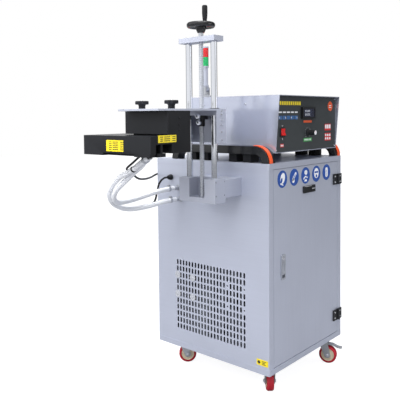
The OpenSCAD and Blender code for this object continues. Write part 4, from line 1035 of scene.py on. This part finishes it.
def make_camera():
    yaw, pitch, roll = math.radians(49.08), math.radians(2.45), math.radians(-0.52)
    ahead = Vector((math.sin(yaw) * math.cos(pitch), math.cos(yaw) * math.cos(pitch), -math.sin(pitch)))
    across = Vector((math.cos(yaw), -math.sin(yaw), 0))
    above = across.cross(ahead)
    r = math.cos(roll) * across + math.sin(roll) * above
    u = -math.sin(roll) * across + math.cos(roll) * above
    cam = bpy.data.cameras.new("camera")
    cam.sensor_width = 36
    cam.lens = 52.605
    cam.shift_x = -0.0045
    cam.shift_y = -0.14975
    cam.clip_end = 60
    o = show("camera", cam)
    o.matrix_world = place((r, u, -ahead), -2.0387, -1.4940, 1.0786)
    bpy.context.scene.camera = o


def lamp(name, at, aim, size, power):
    data = bpy.data.lights.new(name, "AREA")
    data.shape = "DISK"
    data.size = size
    data.energy = power
    o = show(name, data)
    at, aim = Vector(at), Vector(aim)
    o.location = at
    o.rotation_euler = (aim - at).to_track_quat("-Z", "Y").to_euler()
    return o


# what reflections meet: a direction that is dimmed, where the dimming starts, is full, leaves and is gone,
# all as the cosine from that direction, and how dark it gets
SHADES = (
    ((0.76, -0.65, 0.0), 0.1, 0.9, 2, 3, 0.15),
    ((0.756, 0.655, 0.0), 0.25, 0.55, 0.72, 0.88, 0.08),
)


def reflected_light(nt):
    """How bright the surroundings are in each direction."""
    where = nt.nodes.new("ShaderNodeTexCoord")
    bright = 1.0
    for toward, start, full, leave, gone, low in SHADES:
        dot = nt.nodes.new("ShaderNodeVectorMath")
        dot.operation = "DOT_PRODUCT"
        dot.inputs[1].default_value = toward
        nt.links.new(where.outputs["Generated"], dot.inputs[0])
        cosine = dot.outputs["Value"]
        rise = span(nt, cosine, 0, 1, start, full, "SMOOTHSTEP")
        fall = span(nt, cosine, 1, 0, leave, gone, "SMOOTHSTEP")
        band = calculate(nt, "MULTIPLY", rise, fall)
        bright = calculate(nt, "MULTIPLY", bright, calculate(nt, "MULTIPLY_ADD", band, low - 1, 1))
    return bright


def make_world():
    world = bpy.data.worlds.new("studio")
    bpy.context.scene.world = world
    world.use_nodes = True
    nt = world.node_tree
    nt.nodes.clear()
    soft = nt.nodes.new("ShaderNodeBackground")
    soft.inputs["Color"].default_value = (0.95, 0.97, 1, 1)
    soft.inputs["Strength"].default_value = AMBIENT
    path = nt.nodes.new("ShaderNodeLightPath").outputs
    seen = nt.nodes.new("ShaderNodeBackground")
    seen.inputs["Strength"].default_value = 1.0
    nt.links.new(calculate(nt, "MAXIMUM", reflected_light(nt), path["Is Camera Ray"]), seen.inputs["Color"])
    direct = calculate(nt, "MAXIMUM", path["Is Camera Ray"], path["Is Glossy Ray"])
    mix = nt.nodes.new("ShaderNodeMixShader")
    nt.links.new(calculate(nt, "MAXIMUM", direct, path["Is Transmission Ray"]), mix.inputs[0])
    nt.links.new(soft.outputs[0], mix.inputs[1])
    nt.links.new(seen.outputs[0], mix.inputs[2])
    out = nt.nodes.new("ShaderNodeOutputWorld")
    nt.links.new(mix.outputs[0], out.inputs["Surface"])


def make_floor():
    m, nt, look = blank_material("pale_floor")
    paint = nt.nodes.new("ShaderNodeBsdfDiffuse")
    paint.inputs["Color"].default_value = (0.36, 0.36, 0.37, 1)
    glow = nt.nodes.new("ShaderNodeEmission")
    path = nt.nodes.new("ShaderNodeLightPath").outputs
    nt.links.new(calculate(nt, "MULTIPLY", path["Is Camera Ray"], FLOOR_GLOW), glow.inputs["Strength"])
    both = nt.nodes.new("ShaderNodeAddShader")
    nt.links.new(paint.outputs[0], both.inputs[0])
    nt.links.new(glow.outputs[0], both.inputs[1])
    nt.links.new(both.outputs[0], look)
    bm = bmesh.new()
    bmesh.ops.create_circle(bm, cap_ends=True, segments=96, radius=FLOOR_RADIUS)
    me = bpy.data.meshes.new("floor")
    bm.to_mesh(me)
    bm.free()
    me.materials.append(m)
    show("floor", me)


def make_lights():
    key = lamp("key", (-1.7, 0.25, 2.45), (-0.2, 0, 0.9), 3.4, 95)
    key.visible_glossy = False
    lamp("top", (-0.6, -0.4, 4.0), (0, 0, 0.8), 2.6, 55)
    lamp("fill", (1.6, -3.8, 1.8), (0, 0, 0.7), 2.4, 22)


# operators, one for each group

def run_all(*steps):
    for step in steps:
        step()
    return {"FINISHED"}


class SEALER_OT_camera(bpy.types.Operator):
    """Places the camera at the photograph's viewpoint"""
    bl_idname = "sealer.camera"
    bl_label = "Camera"

    def execute(self, context):
        return run_all(make_camera)


class SEALER_OT_materials(bpy.types.Operator):
    """Builds every material from the colours in the settings"""
    bl_idname = "sealer.materials"
    bl_label = "Materials"

    def execute(self, context):
        return run_all(make_materials)


class SEALER_OT_cords(bpy.types.Operator):
    """Lays the two hoses and the two cables"""
    bl_idname = "sealer.cords"
    bl_label = "Cords"

    def execute(self, context):
        return run_all(make_cords, make_cord_ties)


class SEALER_OT_cabinet(bpy.types.Operator):
    """Dresses the cabinet's sheets and their fixings"""
    bl_idname = "sealer.cabinet"
    bl_label = "Cabinet"

    def execute(self, context):
        return run_all(make_cabinet, make_fixings)


class SEALER_OT_door(bpy.types.Operator):
    """Dresses the door, its hinges, lock and temperature unit"""
    bl_idname = "sealer.door"
    bl_label = "Door"

    def execute(self, context):
        return run_all(make_door, make_discs)


class SEALER_OT_column(bpy.types.Operator):
    """Dresses the column and cuts the screw's thread"""
    bl_idname = "sealer.column"
    bl_label = "Column"

    def execute(self, context):
        return run_all(make_column, make_screw)


class SEALER_OT_head(bpy.types.Operator):
    """Dresses the carriage and the sealing head"""
    bl_idname = "sealer.head"
    bl_label = "Sealing head"

    def execute(self, context):
        return run_all(make_head)


class SEALER_OT_box(bpy.types.Operator):
    """Dresses the control box and the signal light"""
    bl_idname = "sealer.box"
    bl_label = "Control box"

    def execute(self, context):
        return run_all(make_box, make_light)


class SEALER_OT_casters(bpy.types.Operator):
    """Dresses the casters"""
    bl_idname = "sealer.casters"
    bl_label = "Casters"

    def execute(self, context):
        return run_all(make_casters)


class SEALER_OT_inside(bpy.types.Operator):
    """Dresses the ports, the fans and the water unit"""
    bl_idname = "sealer.inside"
    bl_label = "Ports and inside"

    def execute(self, context):
        return run_all(make_inside)


class SEALER_OT_studio(bpy.types.Operator):
    """Makes the floor, the lamps and the white surroundings"""
    bl_idname = "sealer.studio"
    bl_label = "Studio"

    def execute(self, context):
        context.scene.view_settings.view_transform = "Standard"
        return run_all(make_world, make_floor, make_lights)


class SEALER_PT_panel(bpy.types.Panel):
    """Settings and steps of the cap sealer"""
    bl_idname = "SEALER_PT_panel"
    bl_label = "Cap sealer"
    bl_space_type = "VIEW_3D"
    bl_region_type = "UI"
    bl_category = "Sealer"

    def draw(self, context):
        column = self.layout.column()
        for key in SealerSettings.__annotations__:
            column.prop(context.scene.sealer, key)
        for step in STEPS:
            column.operator(step.bl_idname)


STEPS = (
    SEALER_OT_camera, SEALER_OT_materials, SEALER_OT_cords, SEALER_OT_cabinet, SEALER_OT_door,
    SEALER_OT_column, SEALER_OT_head, SEALER_OT_box, SEALER_OT_casters, SEALER_OT_inside,
    SEALER_OT_studio,
)
CLASSES = (SealerSettings, *STEPS, SEALER_PT_panel)


def register():
    for c in CLASSES:
        bpy.utils.register_class(c)
    bpy.types.Scene.sealer = bpy.props.PointerProperty(type=SealerSettings)


def unregister():
    del bpy.types.Scene.sealer
    for c in reversed(CLASSES):
        bpy.utils.unregister_class(c)


def main():
    FRAME.update(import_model())
    register()
    bpy.ops.sealer.camera()
    bpy.ops.sealer.materials()
    bpy.ops.sealer.cords()
    bpy.ops.sealer.cabinet()
    bpy.ops.sealer.door()
    bpy.ops.sealer.column()
    bpy.ops.sealer.head()
    bpy.ops.sealer.box()
    bpy.ops.sealer.casters()
    bpy.ops.sealer.inside()
    bpy.ops.sealer.studio()
    bpy.context.view_layer.update()


if __name__ == "__main__":
    main()
